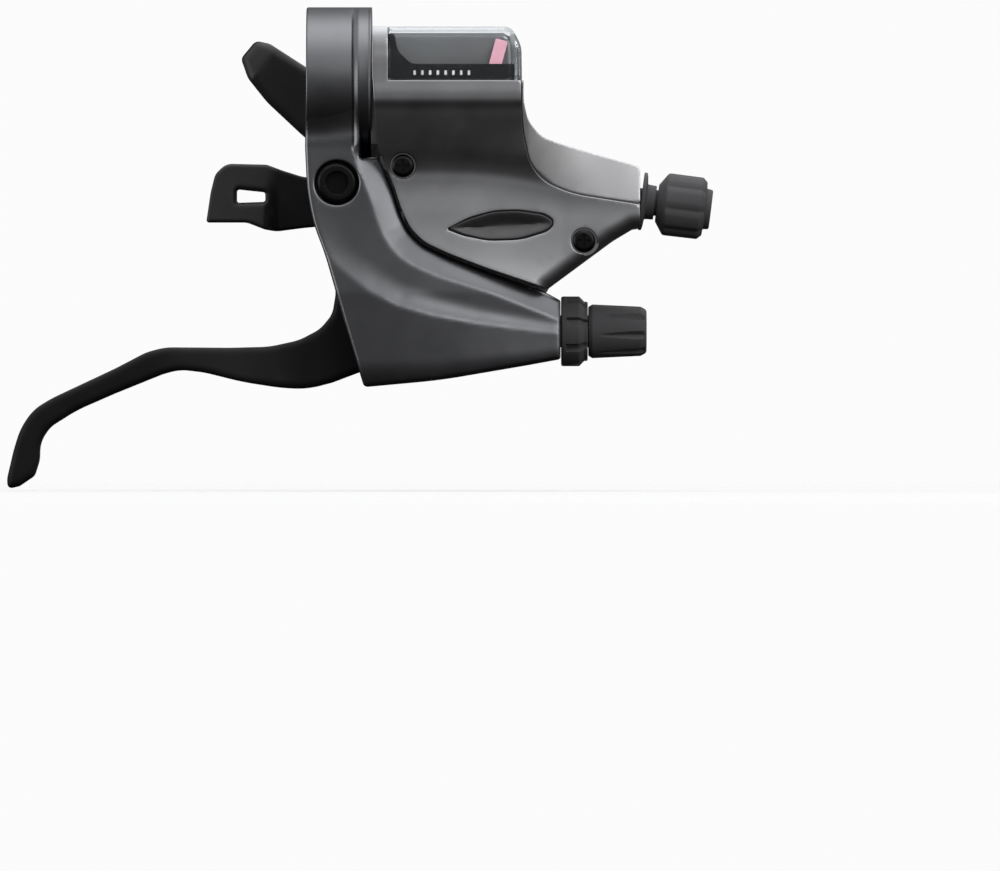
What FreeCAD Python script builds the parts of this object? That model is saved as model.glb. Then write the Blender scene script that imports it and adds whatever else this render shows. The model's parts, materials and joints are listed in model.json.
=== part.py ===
import FreeCAD, Part
import math
import os

# Right-hand brake and shift lever for a flat handlebar. Millimetres.
# Origin: centre of the clamp bore. +X along the bar towards the stem, +Z from the brake
# lever towards the rider, +Y from the gear display down to the shift levers.

V = FreeCAD.Vector

# driving dimensions
BAR_R = 11.1
CLAMP_WALL = 4.3
CLAMP_X0 = -6.5
CLAMP_X1 = 6.6
BOLT = (-0.3, -20.0)
BOLT_R = 2.5
PIVOT = (4.7, -30.5)
PIVOT_R = 2.0
BRAKE_CABLE_Z = -49.6
AXLE = (23.7, -25.0)
AXLE_R = 2.5
SHIFT_CABLE_START = V(60.5, -2.0, -23.5)
SHIFT_CABLE_TILT = 7.0
RUN = 0.05
WALL = 1.3

# derived dimensions
CLAMP_R = BAR_R + CLAMP_WALL
LEVER_HALF = 5.0
SLOT_HALF = LEVER_HALF + 0.35
BRACKET_BACK = 8.0
CASE_BACK = 12.6
PLATE_Y0 = CASE_BACK + 0.05
PLATE_Y1 = PLATE_Y0 + 1.6
TRIGGER_Y0 = 17.2
TRIGGER_Y1 = 20.4
THUMB_Y0 = 22.0
THUMB_Y1 = 26.6
SLEEVE_R = 3.6
DRUM_R = 7.4
GROOVE_R = 6.0
BAR_GAP_R = BAR_R + 0.6


def outline(runs, y=0.0):
    """Closed face across Y. Each run of (x, z) points is one edge: two points make a straight
    edge, more make a smooth curve. Every run starts where the last one ended."""
    edges = []
    for run in runs:
        points = [V(x, y, z) for x, z in run]
        if len(points) == 2:
            edges.append(Part.LineSegment(points[0], points[1]).toShape())
        else:
            curve = Part.BSplineCurve()
            curve.interpolate(points)
            edges.append(curve.toShape())
    return Part.Face(Part.Wire(edges))


def polygon(points, y=0.0):
    """Straight-sided face across Y through the (x, z) points."""
    corners = [V(x, y, z) for x, z in points]
    return Part.Face(Part.makePolygon(corners + corners[:1]))


def across(face, y0, y1):
    """Extrude a face drawn at Y = 0 from y0 to y1."""
    moved = face.copy()
    moved.translate(V(0, y0, 0))
    return moved.extrude(V(0, y1 - y0, 0))


def plate(points, y0, y1):
    """Straight-sided plate through the (x, z) points, from y0 to y1."""
    return across(polygon(points), y0, y1)


def along(points, x0, x1):
    """Body of constant section along X. The (y, z) points give a smooth front from first to
    last, closed by a straight back far behind everything."""
    front = Part.BSplineCurve()
    front.interpolate([V(x0, y, z) for y, z in points])
    back = 40.0
    first, last = points[0], points[-1]
    edges = [front.toShape(),
             Part.LineSegment(V(x0, last[0], last[1]), V(x0, back, last[1])).toShape(),
             Part.LineSegment(V(x0, back, last[1]), V(x0, back, first[1])).toShape(),
             Part.LineSegment(V(x0, back, first[1]), V(x0, first[0], first[1])).toShape()]
    return Part.Face(Part.Wire(edges)).extrude(V(x1 - x0, 0, 0))


def block(x0, x1, y0, y1, z0, z1):
    return Part.makeBox(x1 - x0, y1 - y0, z1 - z0, V(x0, y0, z0))


def rod(centre, radius, y0, y1):
    """Round bar along Y about the (x, z) centre."""
    return Part.makeCylinder(radius, y1 - y0, V(centre[0], y0, centre[1]), V(0, 1, 0))


def tube(centre, outer, inner, y0, y1):
    return rod(centre, outer, y0, y1).cut(rod(centre, inner, y0 - 1, y1 + 1))


def bar(radius, x0, x1, z=0.0):
    """Round bar along X."""
    return Part.makeCylinder(radius, x1 - x0, V(x0, 0, z), V(1, 0, 0))


def turned(profile, origin, direction):
    """Body of revolution: profile is (distance along the axis, radius) points."""
    corners = [V(radius, 0, distance) for distance, radius in profile]
    face = Part.Face(Part.makePolygon(corners + corners[:1]))
    body = face.revolve(V(0, 0, 0), V(0, 0, 1), 360)
    body.Placement = FreeCAD.Placement(origin, FreeCAD.Rotation(V(0, 0, 1), direction))
    return body


def ring_of(centre, radius, angle):
    """(x, z) at an angle in degrees about a centre, measured from +X towards +Z."""
    turn = math.radians(angle)
    return (centre[0] + radius * math.cos(turn), centre[1] + radius * math.sin(turn))


def coil(centre, y0, y1, coil_r, wire_r, turns):
    """Helical spring about an axis along Y."""
    length = y1 - y0 - 2 * wire_r
    helix = Part.makeLongHelix(length / turns, length, coil_r)
    section = Part.Wire(Part.Circle(V(coil_r, 0, 0), V(0, 1, 0), wire_r).toShape())
    body = Part.Wire(helix.Edges).makePipeShell([section], True, True)
    place = V(centre[0], y0 + wire_r, centre[1])
    body.Placement = FreeCAD.Placement(place, FreeCAD.Rotation(V(0, 0, 1), V(0, 1, 0)))
    return body


def socket_screw(centre, head_r, head, shaft_r, length, y, sense):
    """Screw along Y with a hexagon socket. The head's outer face is at y and the screw runs
    in the direction sense."""
    screw = rod(centre, head_r, min(y, y + sense * head), max(y, y + sense * head))
    end = y + sense * length
    screw = screw.fuse(rod(centre, shaft_r, min(y, end), max(y, end)))
    socket = [ring_of(centre, head_r * 0.6, 60 * k + 30) for k in range(6)]
    depth = sense * head * 0.65
    return screw.cut(plate(socket, min(y, y + depth), max(y, y + depth)))


# ---- bracket and brake ----

BRACKET_LEFT = [(-6.9, -13.0), (-6.4, -21.2), (-5.1, -28.0), (-2.7, -34.2), (-0.9, -40.5),
                (1.3, -48.2), (3.4, -55.0), (5.1, -60.8)]
BRACKET_BOTTOM = [(5.1, -60.8), (20.3, -59.4), (44.4, -55.2)]
BRACKET_RIM = [(44.4, -43.3), (41.3, -41.7), (29.1, -37.4), (21.7, -34.6), (16.9, -32.4),
               (13.9, -29.4), (12.2, -25.5), (10.9, -21.6), (9.1, -17.2), (7.4, -13.0)]
BRACKET_FRONT = [(-13.6, -10.0), (-14.3, -20.0), (-13.6, -28.0), (-12.4, -36.0),
                 (-11.2, -46.0), (-9.6, -56.0), (-8.4, -63.0)]
BOSSES = [(14.6, -40.5), (34.0, -45.6)]


def bracket():
    face = outline([BRACKET_LEFT, BRACKET_BOTTOM, [BRACKET_BOTTOM[-1], BRACKET_RIM[0]],
                    BRACKET_RIM, [BRACKET_RIM[-1], BRACKET_LEFT[0]]])
    body = across(face, -18.0, BRACKET_BACK).common(along(BRACKET_FRONT, -20.0, 60.0))
    # the lug above the brake pivot is only as deep as its front half
    body = body.cut(block(-12.0, 20.0, 0.4, 20.0, -26.6, 0.0))
    # ring, and the free ear behind the split
    body = body.fuse(bar(CLAMP_R, CLAMP_X0, CLAMP_X1))
    body = body.fuse(block(CLAMP_X0, CLAMP_X1, -13.6, 0.4, -14.0, -9.0))
    ear = block(CLAMP_X0, CLAMP_X1, 2.0, 11.0, -25.4, -4.0)
    body = body.fuse(ear)
    body = body.cut(block(-12.0, CLAMP_X1 + 0.01, 0.4, 2.0, -26.0, -9.0))
    body = body.cut(bar(BAR_R, -20.0, 30.0))
    # shallow groove round the band
    groove = bar(CLAMP_R + 1.0, 2.6, 4.4).cut(bar(CLAMP_R - 0.5, 2.0, 5.0))
    body = body.cut(groove.common(block(0.0, 6.0, -20.0, 20.0, -6.0, 20.0)))
    # clamp bolt hole and counterbore
    body = body.cut(rod(BOLT, BOLT_R + 0.1, -20.0, 20.0))
    body = body.cut(rod(BOLT, 4.4, -20.0, -9.5))
    # clevis slot for the brake lever
    slot = plate([(10.9, -30.5), (12.0, -40.0), (12.0, -58.6), (5.6, -59.6), (5.6, -64.0),
                  (-14.0, -64.0), (-14.0, -36.0), (-1.5, -30.5)], -SLOT_HALF, SLOT_HALF)
    body = body.cut(slot).cut(rod(PIVOT, 6.2, -SLOT_HALF, SLOT_HALF))
    body = body.cut(rod(PIVOT, PIVOT_R + 0.02, -11.0, 20.0))
    # cable channel and the thread for the adjuster
    body = body.cut(bar(2.2, 11.0, 36.0, BRAKE_CABLE_Z))
    body = body.cut(bar(3.35, 34.0, 50.0, BRAKE_CABLE_Z))
    # bosses that carry the shifter's base plate
    for boss in BOSSES:
        body = body.fuse(rod(boss, 3.2, BRACKET_BACK - 1.0, CASE_BACK))
        body = body.cut(rod(boss, 1.65, 2.5, 20.0))
    return body.removeSplitter()


def clamp_bolt():
    return socket_screw(BOLT, 4.1, 4.0, BOLT_R, 24.0, -13.6, 1)


def brake_pivot_pin():
    return rod(PIVOT, PIVOT_R, -10.9, 8.1).fuse(rod(PIVOT, 3.1, BRACKET_BACK + 0.02, 9.2))


def brake_pivot_bushes():
    bushes = []
    for y0, y1 in ((-LEVER_HALF + 0.05, -1.0), (1.0, LEVER_HALF - 0.05)):
        bushes.append(tube(PIVOT, 3.0, PIVOT_R + RUN, y0, y1))
    return Part.makeCompound(bushes)


BLADE_TOP = [(-0.7, -42.4), (-1.3, -46.2), (-3.5, -48.8), (-7.5, -51.0), (-12.7, -52.5),
             (-21.7, -52.9), (-34.5, -52.8), (-38.1, -53.6), (-44.7, -57.0), (-57.5, -63.0),
             (-61.1, -65.4), (-63.7, -69.2), (-65.1, -73.2), (-66.5, -79.0)]
BLADE_TIP = [(-66.5, -79.0), (-66.3, -81.2), (-64.1, -80.7), (-61.1, -78.6)]
BLADE_UNDER = [(-61.1, -78.6), (-60.1, -75.4), (-59.9, -71.8), (-58.1, -69.0), (-52.5, -65.6),
               (-44.7, -62.0), (-35.1, -58.1), (-31.9, -57.5), (-26.9, -58.0), (-19.3, -59.8),
               (-11.5, -61.0), (-6.5, -61.2), (-1.3, -59.8), (3.7, -58.2)]


def widths(points, z0, z1):
    """Body whose half-width across Y follows the (x, half-width) points, from z0 to z1."""
    front = Part.BSplineCurve()
    front.interpolate([V(x, -half, z0) for x, half in points])
    back = Part.BSplineCurve()
    back.interpolate([V(x, half, z0) for x, half in reversed(points)])
    (xa, ha), (xb, hb) = points[0], points[-1]
    edges = [front.toShape(),
             Part.LineSegment(V(xb, -hb, z0), V(xb, hb, z0)).toShape(),
             back.toShape(),
             Part.LineSegment(V(xa, ha, z0), V(xa, -ha, z0)).toShape()]
    return Part.Face(Part.Wire(edges)).extrude(V(0, 0, z1 - z0))


def brake_lever():
    hook = [(3.7, -58.2), (8.6, -56.2), (9.6, -50.0), (9.4, -40.0), (9.9, -31.5)]
    face = outline([BLADE_TOP, BLADE_TIP, BLADE_UNDER, hook, [hook[-1], (0.2, -33.6)],
                    [(0.2, -33.6), BLADE_TOP[0]]])
    body = across(face, -LEVER_HALF, LEVER_HALF)
    body = body.fuse(rod(PIVOT, 5.4, -LEVER_HALF, LEVER_HALF))
    # the finger part is widest at its middle and narrows to the tip
    body = body.common(widths([(-70.0, 3.2), (-60.0, 3.8), (-48.0, 4.8), (-36.0, 5.0),
                               (-20.0, 4.6), (-10.0, 4.7), (0.0, 5.0), (14.0, 5.0)],
                              -90.0, -10.0))
    body = body.cut(rod(PIVOT, 3.02, -20.0, 20.0))
    # hook for the cable end: a cross hole, and a slot that leads the cable in from the side
    hook_at = (PIVOT[0] + 1.0, BRAKE_CABLE_Z)
    body = body.cut(rod(hook_at, 3.4, -3.2, 20.0))
    slot = block(hook_at[0], 14.0, -1.1, 20.0, BRAKE_CABLE_Z - 1.1, BRAKE_CABLE_Z + 1.1)
    return body.cut(slot).removeSplitter()


def brake_return_spring():
    return coil(PIVOT, -0.9, 0.9, 2.6, 0.3, 2.0)


def brake_adjuster():
    start = V(35.5, 0, BRAKE_CABLE_Z)
    body = turned([(0, 1.3), (0, 3.2), (14.6, 3.2), (14.6, 5.2), (15.4, 5.4), (25.2, 4.9),
                   (26.2, 4.3), (26.2, 3.05), (18.2, 3.05), (18.2, 1.3)], start, V(1, 0, 0))
    # flutes that deepen towards the outer end
    for k in range(12):
        angle = math.radians(30.0 * k)
        x0, x1, reach = 52.0, 62.5, 5.85
        axis = V(0, math.cos(angle), math.sin(angle))
        flute = Part.makeCone(0.3, 0.95, x1 - x0, V(x0, 0, BRAKE_CABLE_Z) + axis * reach,
                              V(1, 0, -0.055 * math.sin(angle)) - V(0, 0.055, 0) * math.cos(angle))
        body = body.cut(flute)
    return body


def brake_lock_ring():
    body = turned([(0, 3.25), (0, 6.6), (0.5, 7.0), (3.6, 7.0), (4.7, 5.9), (5.4, 5.9),
                   (5.4, 3.25)], V(44.5, 0, BRAKE_CABLE_Z), V(1, 0, 0))
    for k in range(8):
        angle = math.radians(45.0 * k + 10.0)
        notch = block(45.6, 52.0, 6.2, 9.0, -0.8, 0.8)
        notch.rotate(V(0, 0, 0), V(1, 0, 0), math.degrees(angle))
        notch.translate(V(0, 0, BRAKE_CABLE_Z))
        body = body.cut(notch)
    return body


# ---- shifter housing ----

POD_TOP = [(7.1, -12.6), (7.1, 11.2), (33.0, 11.2)]
POD_SHOULDER = [(33.0, 11.2), (35.3, 10.4), (36.5, 7.0), (36.9, 3.0), (36.9, -3.6),
                (37.9, -7.8), (40.2, -10.6), (44.7, -12.2), (51.5, -14.2), (60.3, -16.6)]
POD_END = [(60.3, -16.6), (60.5, -29.0), (58.9, -29.0), (54.9, -31.4), (41.9, -41.2)]
POD_FOOT = [(41.9, -41.2), (29.2, -36.9), (21.9, -34.1), (17.2, -31.9), (14.4, -29.1),
            (12.7, -25.2), (11.4, -21.3), (9.6, -16.9), (7.1, -12.6)]
POD_FRONT = [(-17.0, 12.4), (-19.2, 9.6), (-20.0, 4.0), (-19.6, -4.0), (-17.6, -11.0),
             (-15.8, -16.0), (-15.2, -19.5), (-15.6, -26.0), (-16.2, -34.0), (-16.6, -42.0)]
SEAM = [(36.7, 14.0), (36.7, 3.0), (36.9, -7.0), (38.2, -15.8), (40.9, -19.2),
        (46.7, -22.0), (62.0, -24.1)]
WINDOW_X0 = 9.9
WINDOW_Z0 = 0.5
LEAF = (32.3, -28.4)
COVER_SCREWS = [(12.9, -16.6), (49.1, -31.6)]


def pod_face():
    runs = [POD_TOP[:2], POD_TOP[1:], POD_SHOULDER]
    runs += [[a, b] for a, b in zip(POD_END, POD_END[1:])]
    return outline(runs + [POD_FOOT])


def pod_shell():
    """Whole housing before it is divided: open at the back, hollow inside."""
    face = pod_face()
    outer = across(face, -24.0, CASE_BACK).common(along(POD_FRONT, 0.0, 70.0))
    outer = outer.cut(bar(BAR_GAP_R, 0.0, 70.0))
    outer = outer.cut(block(0.0, 45.0, 0.0, 20.0, -12.3, 14.0))
    corners = POD_TOP[1:] + POD_SHOULDER[1:] + POD_END[1:] + POD_FOOT[1:]
    inner_face = polygon(corners).makeOffset2D(-WALL)
    inner = across(inner_face, -24.0 + WALL, CASE_BACK + 1.0)
    inner_front = along([(y + WALL, z) for y, z in POD_FRONT], 0.0, 70.0)
    inner = inner.common(inner_front)
    inner = inner.cut(bar(BAR_GAP_R + 1.0, 0.0, 70.0))
    inner = inner.cut(block(0.0, 46.0, -1.0, 20.0, -13.6, 14.0))
    return outer.cut(inner)


def seam_region(grow):
    """Everything right of and above the seam, moved away from it by grow."""
    corners = [(x + grow, z + grow * 0.4) for x, z in SEAM]
    return plate(corners + [(80.0, -24.1), (80.0, 14.0)], -30.0, -12.0)


def window_region(grow):
    z1 = 14.0
    return block(WINDOW_X0 - grow, 40.0, -30.0, -12.8, WINDOW_Z0 - grow, z1)


def shifter_case(shell):
    front = shell.common(block(0.0, 80.0, -30.0, -12.7, -60.0, 20.0))
    rear = shell.cut(block(0.0, 80.0, -30.0, -12.7, -60.0, 20.0))
    right = front.common(seam_region(0.08)).cut(window_region(0.08))
    body = rear.fuse(right)
    # stem hole of the cable adjuster, on a thick pad inside the end wall
    axis = shift_axis()
    pad = Part.makeCylinder(4.6, 5.6, SHIFT_CABLE_START - axis * 5.4, axis)
    body = body.fuse(pad.common(block(40.0, 60.45, -12.0, 12.0, -40.0, -14.0)))
    hole = Part.makeCylinder(2.65, 12.0, SHIFT_CABLE_START - axis * 8.0, axis)
    seat_room = Part.makeCylinder(6.1, 4.0, SHIFT_CABLE_START, axis)
    return body.cut(hole).cut(seat_room).removeSplitter()


def front_cover(shell):
    front = shell.common(block(0.0, 80.0, -30.0, -12.75, -60.0, 20.0))
    body = front.cut(seam_region(0.0)).cut(window_region(0.08))
    for centre in COVER_SCREWS:
        body = body.fuse(rod(centre, 3.0, -15.4, -12.75).cut(rod(centre, 1.0, -16.0, -12.0)))
        body = body.cut(rod(centre, 2.5, -20.0, -14.6))
        body = body.cut(rod(centre, 1.0, -16.0, -12.0))
    body = body.cut(across(leaf_face(0.0), -20.0, -10.0))
    return body.removeSplitter()


def leaf_face(gap):
    """Leaf outline drawn inside its opening by gap."""
    long, wide = 1.0 - gap / 10.6, 1.0 - gap / 3.0
    top = [(-10.6, 0.6), (-4.0, 2.6), (4.0, 3.0), (9.6, 2.3), (10.9, 0.9)]
    foot = [(10.9, 0.9), (9.0, -1.7), (2.0, -3.2), (-5.0, -2.6), (-10.6, 0.6)]
    runs = [[(LEAF[0] + x * long, LEAF[1] + z * wide) for x, z in run] for run in (top, foot)]
    return outline(runs)


def leaf_plug():
    return across(leaf_face(0.12), -15.1, -14.4)


def display_window(shell):
    return shell.common(window_region(0.0))


def display_mask():
    return plate([(9.0, 8.2), (9.0, 0.7), (34.9, 0.7), (34.9, 3.8), (12.6, 3.8), (11.2, 5.2),
                  (11.2, 8.2)], -18.1, -17.8)


def display_dial():
    dial = block(8.6, 33.9, -16.4, -15.9, 3.2, 9.0)
    legs = block(8.6, 9.4, -16.0, -12.9, 4.6, 8.4).fuse(block(33.1, 33.9, -16.0, -12.9, 4.6, 8.4))
    return dial.fuse(legs)


def gear_needle():
    lean = 15.0
    turn = math.radians(90.0 - lean)
    reach = V(math.cos(turn), 0, math.sin(turn))
    side = V(math.sin(turn), 0, -math.cos(turn))
    centre = V(AXLE[0], 0, AXLE[1])

    def strip(start, end, half, y0, y1):
        corners = [centre + reach * start - side * half, centre + reach * end - side * half,
                   centre + reach * end + side * half, centre + reach * start + side * half]
        return plate([(c.x, c.z) for c in corners], y0, y1)

    arm = strip(1.0, 27.7, 1.1, -13.8, -13.3)
    step = strip(26.9, 27.7, 1.1, -17.4, -13.3)
    pointer = strip(26.9, 34.8, 1.3, -17.4, -16.9)
    hub = rod(AXLE, 3.2, -13.8, -13.3)
    body = arm.fuse(step).fuse(pointer).fuse(hub)
    return body.cut(rod(AXLE, 1.5 + RUN, -20.0, 0.0)).removeSplitter()


def cover_screws():
    screws = []
    for centre in COVER_SCREWS:
        screw = rod(centre, 2.35, -15.9, -14.65).fuse(rod(centre, 0.9, -14.7, -11.0))
        screw = screw.cut(block(centre[0] - 1.4, centre[0] + 1.4, -17.0, -15.2,
                                centre[1] - 0.3, centre[1] + 0.3))
        screw = screw.cut(block(centre[0] - 0.3, centre[0] + 0.3, -17.0, -15.2,
                                centre[1] - 1.4, centre[1] + 1.4))
        screws.append(screw)
    return Part.makeCompound(screws)


# ---- shift cable adjuster ----

def shift_axis():
    turn = math.radians(SHIFT_CABLE_TILT)
    return V(math.cos(turn), 0, -math.sin(turn))


def adjuster_seat():
    return turned([(0.0, 2.65), (0.0, 5.7), (1.4, 5.9), (1.9, 5.4), (1.9, 3.6), (3.6, 3.4),
                   (3.6, 2.65)], SHIFT_CABLE_START + shift_axis() * 0.12, shift_axis())


def shift_adjuster():
    body = turned([(-6.5, 1.1), (-6.5, 2.6), (4.0, 2.6), (4.0, 4.6), (5.4, 6.2), (12.6, 6.0),
                   (13.2, 5.4), (13.4, 3.9), (14.4, 3.8), (14.4, 2.55), (7.4, 2.55),
                   (7.4, 1.1)], SHIFT_CABLE_START, shift_axis())
    # finger grips round the knob
    turn = FreeCAD.Rotation(V(0, 0, 1), shift_axis())
    for k in range(8):
        angle = math.radians(45.0 * k)
        side = turn.multVec(V(math.cos(angle), math.sin(angle), 0))
        start = SHIFT_CABLE_START + shift_axis() * 6.4 + side * 7.35
        body = body.cut(Part.makeCylinder(1.5, 9.0, start, shift_axis()))
    return body


def adjuster_spring():
    body = coil((0, 0), 0.0, 2.6, 3.2, 0.3, 2.0)
    body.Placement = FreeCAD.Placement(SHIFT_CABLE_START - shift_axis() * 8.4,
                                       FreeCAD.Rotation(V(0, 0, 1), shift_axis()))
    return body


# ---- shifter mechanism ----

def base_plate():
    body = plate([(10.6, -14.4), (38.4, -14.4), (58.4, -18.6), (59.2, -28.6), (54.2, -31.4),
                  (42.6, -40.2), (37.4, -48.6), (30.6, -48.6), (22.0, -42.6), (17.0, -43.8),
                  (12.2, -43.8), (10.8, -40.0), (13.2, -29.0)], PLATE_Y0, PLATE_Y1)
    body = body.cut(rod(AXLE, SLEEVE_R + 0.3, 0.0, 20.0))
    for boss in BOSSES:
        body = body.cut(rod(boss, 2.1, 0.0, 20.0))
    return body


def base_screws():
    screws = [socket_screw(boss, 3.0, 2.0, 1.6, 9.0, PLATE_Y1 + 2.03, -1) for boss in BOSSES]
    return Part.makeCompound(screws)


def main_axle():
    body = rod(AXLE, AXLE_R, -12.9, 30.2).fuse(rod(AXLE, 1.5, -14.1, -12.8))
    return body.fuse(rod(AXLE, 5.0, -12.9, -11.9))


def axle_washer():
    return tube(AXLE, 5.2, AXLE_R + 0.03, 27.0, 27.8)


def axle_nut():
    corners = [ring_of(AXLE, 4.7, 60 * k) for k in range(6)]
    return plate(corners, 27.85, 30.0).cut(rod(AXLE, AXLE_R + 0.03, 20.0, 40.0))


def cable_drum():
    profile = [(0.0, AXLE_R + RUN), (0.0, DRUM_R), (1.2, DRUM_R), (2.0, GROOVE_R),
               (4.0, GROOVE_R), (4.8, DRUM_R), (6.0, DRUM_R), (6.0, AXLE_R + RUN)]
    body = turned(profile, V(AXLE[0], -5.0, AXLE[1]), V(0, 1, 0))
    # pocket for the cable end
    pocket = ring_of(AXLE, 5.6, 150.0)
    return body.cut(rod(pocket, 1.9, -3.2, 2.0))


def ratchet_wheel():
    teeth = 16
    corners = []
    for k in range(teeth):
        corners.append(ring_of(AXLE, 7.3, 360.0 * k / teeth))
        corners.append(ring_of(AXLE, 6.3, 360.0 * k / teeth + 2.0))
    return plate(corners, 1.05, 2.65).cut(rod(AXLE, AXLE_R + RUN, 0.0, 5.0))


def drum_spring():
    return coil(AXLE, -11.0, -5.4, 5.2, 0.5, 3.5)


def pawl(pivot, nose_angle, y0, y1):
    """Plate that reaches from its pivot to the ratchet teeth."""
    nose = ring_of(AXLE, 7.65, nose_angle)
    along_x, along_z = nose[0] - pivot[0], nose[1] - pivot[1]
    length = math.hypot(along_x, along_z)
    across_x, across_z = -along_z / length * 1.9, along_x / length * 1.9
    body = plate([(pivot[0] + across_x, pivot[1] + across_z), nose,
                  (pivot[0] - across_x, pivot[1] - across_z)], y0, y1)
    return body.fuse(rod(pivot, 1.9, y0, y1)).cut(rod(pivot, 1.0 + RUN, y0 - 1, y1 + 1))


DRIVE_PIVOT = ring_of(AXLE, 11.0, -36.0)
HOLD_PIVOT = ring_of(AXLE, 12.6, 46.0)


def drive_pawl():
    return pawl(DRIVE_PIVOT, -62.0, 1.1, 2.6)


def hold_pawl():
    return pawl(HOLD_PIVOT, 22.0, 1.1, 2.6)


def drive_pawl_pin():
    return rod(DRIVE_PIVOT, 1.0, 0.9, 4.9)


def hold_pawl_pin():
    return rod(HOLD_PIVOT, 1.0, 0.5, PLATE_Y0 - 0.05)


def hold_pawl_spring():
    return coil(HOLD_PIVOT, 3.2, 6.2, 1.6, 0.25, 3.5)


def drive_plate():
    near = [ring_of(AXLE, 6.4, angle) for angle in range(20, 270, 25)]
    body = plate([ring_of(DRIVE_PIVOT, 2.4, -80.0), ring_of(DRIVE_PIVOT, 2.4, -36.0),
                  ring_of(DRIVE_PIVOT, 2.4, 10.0)] + near, 3.3, 4.8)
    return body.cut(rod(AXLE, AXLE_R + RUN, 0.0, 6.0)).cut(rod(DRIVE_PIVOT, 1.0, 0.0, 6.0))


def thumb_return_spring():
    return coil(AXLE, 5.2, 12.2, 4.9, 0.5, 3.5)


THUMB_EDGE = [(27.0, -18.6), (14.0, -10.8), (2.0, -2.6), (-6.9, 3.2), (-14.7, 8.0)]
THUMB_TIP = [(-14.7, 8.0), (-16.4, 8.2), (-19.0, 5.8), (-18.7, 3.4)]
THUMB_UNDER = [(-18.7, 3.4), (-14.6, -3.0), (-6.9, -10.8), (4.0, -19.6), (14.0, -27.0),
               (19.6, -30.4)]


def thumb_lever_arm():
    hub = rod(AXLE, 6.4, THUMB_Y0 + 1.0, THUMB_Y1)
    sleeve = rod(AXLE, SLEEVE_R, 4.85, THUMB_Y1)
    blade = plate([(25.5, -18.9), (-10.0, 2.0), (-13.0, -1.4), (19.8, -30.0)],
                  THUMB_Y0 + 1.0, THUMB_Y0 + 3.2)
    body = hub.fuse(sleeve).fuse(blade)
    return body.cut(rod(AXLE, AXLE_R + RUN, 0.0, 40.0)).removeSplitter()


def thumb_lever_cap():
    face = outline([THUMB_EDGE, THUMB_TIP, THUMB_UNDER, [THUMB_UNDER[-1], THUMB_EDGE[0]]])
    body = across(face, THUMB_Y0, THUMB_Y1 + 0.6)
    body = body.common(plate([(-40.0, 20.0), (14.0, 20.0), (2.0, -34.0), (-40.0, -34.0)],
                             0.0, 40.0))
    return body.cut(thumb_lever_arm())


TRIGGER_TOP = [(24.0, -19.0), (8.0, -19.6), (-7.1, -18.6), (-14.1, -16.2), (-21.6, -16.0)]
TRIGGER_END = [(-21.6, -16.0), (-24.2, -16.8), (-25.1, -19.4)]
TRIGGER_FOOT = [(-18.3, -27.8), (-12.8, -29.5), (-4.0, -28.8), (8.0, -28.6), (24.0, -31.0)]


def trigger_face():
    return outline([TRIGGER_TOP, TRIGGER_END, [TRIGGER_END[-1], (-26.5, -27.8)],
                    [(-26.5, -27.8), TRIGGER_FOOT[0]], TRIGGER_FOOT,
                    [TRIGGER_FOOT[-1], TRIGGER_TOP[0]]])


def trigger_arm():
    strip = plate([(23.0, -19.2), (-9.0, -20.4), (-9.0, -27.6), (23.0, -30.8)],
                  TRIGGER_Y0 + 0.8, TRIGGER_Y0 + 2.6)
    hub = rod(AXLE, 6.2, TRIGGER_Y0, TRIGGER_Y1 + 1.0)
    return strip.fuse(hub).cut(rod(AXLE, SLEEVE_R + RUN, 0.0, 40.0)).removeSplitter()


def trigger_paddle():
    body = across(trigger_face(), TRIGGER_Y0, TRIGGER_Y1)
    body = body.common(block(-40.0, -2.0, 0.0, 40.0, -40.0, 0.0))
    slot = plate([(-20.5, -20.4), (-14.5, -21.2), (-14.5, -24.0), (-20.5, -25.2)], 0.0, 40.0)
    return body.cut(slot).cut(trigger_arm())


def trigger_return_spring():
    return coil(AXLE, PLATE_Y1 + 0.15, TRIGGER_Y0 - 0.15, 4.9, 0.35, 2.5)


def parts():
    shell = pod_shell()
    return {
        "bracket": bracket(),
        "clamp_bolt": clamp_bolt(),
        "brake_pivot_pin": brake_pivot_pin(),
        "brake_pivot_bushes": brake_pivot_bushes(),
        "brake_lever": brake_lever(),
        "brake_return_spring": brake_return_spring(),
        "brake_adjuster": brake_adjuster(),
        "brake_lock_ring": brake_lock_ring(),
        "shifter_case": shifter_case(shell),
        "front_cover": front_cover(shell),
        "leaf_plug": leaf_plug(),
        "display_window": display_window(shell),
        "display_mask": display_mask(),
        "display_dial": display_dial(),
        "gear_needle": gear_needle(),
        "cover_screws": cover_screws(),
        "adjuster_seat": adjuster_seat(),
        "shift_adjuster": shift_adjuster(),
        "adjuster_spring": adjuster_spring(),
        "base_plate": base_plate(),
        "base_screws": base_screws(),
        "main_axle": main_axle(),
        "axle_washer": axle_washer(),
        "axle_nut": axle_nut(),
        "cable_drum": cable_drum(),
        "ratchet_wheel": ratchet_wheel(),
        "drum_spring": drum_spring(),
        "drive_plate": drive_plate(),
        "drive_pawl": drive_pawl(),
        "drive_pawl_pin": drive_pawl_pin(),
        "hold_pawl": hold_pawl(),
        "hold_pawl_pin": hold_pawl_pin(),
        "hold_pawl_spring": hold_pawl_spring(),
        "thumb_lever_arm": thumb_lever_arm(),
        "thumb_lever_cap": thumb_lever_cap(),
        "thumb_return_spring": thumb_return_spring(),
        "trigger_arm": trigger_arm(),
        "trigger_paddle": trigger_paddle(),
        "trigger_return_spring": trigger_return_spring(),
    }


os.makedirs("parts", exist_ok=True)
for node, shape in parts().items():
    shape.exportStep("parts/" + node + ".step")
    print(node, len(shape.Solids), round(shape.Volume), shape.isValid())
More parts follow.
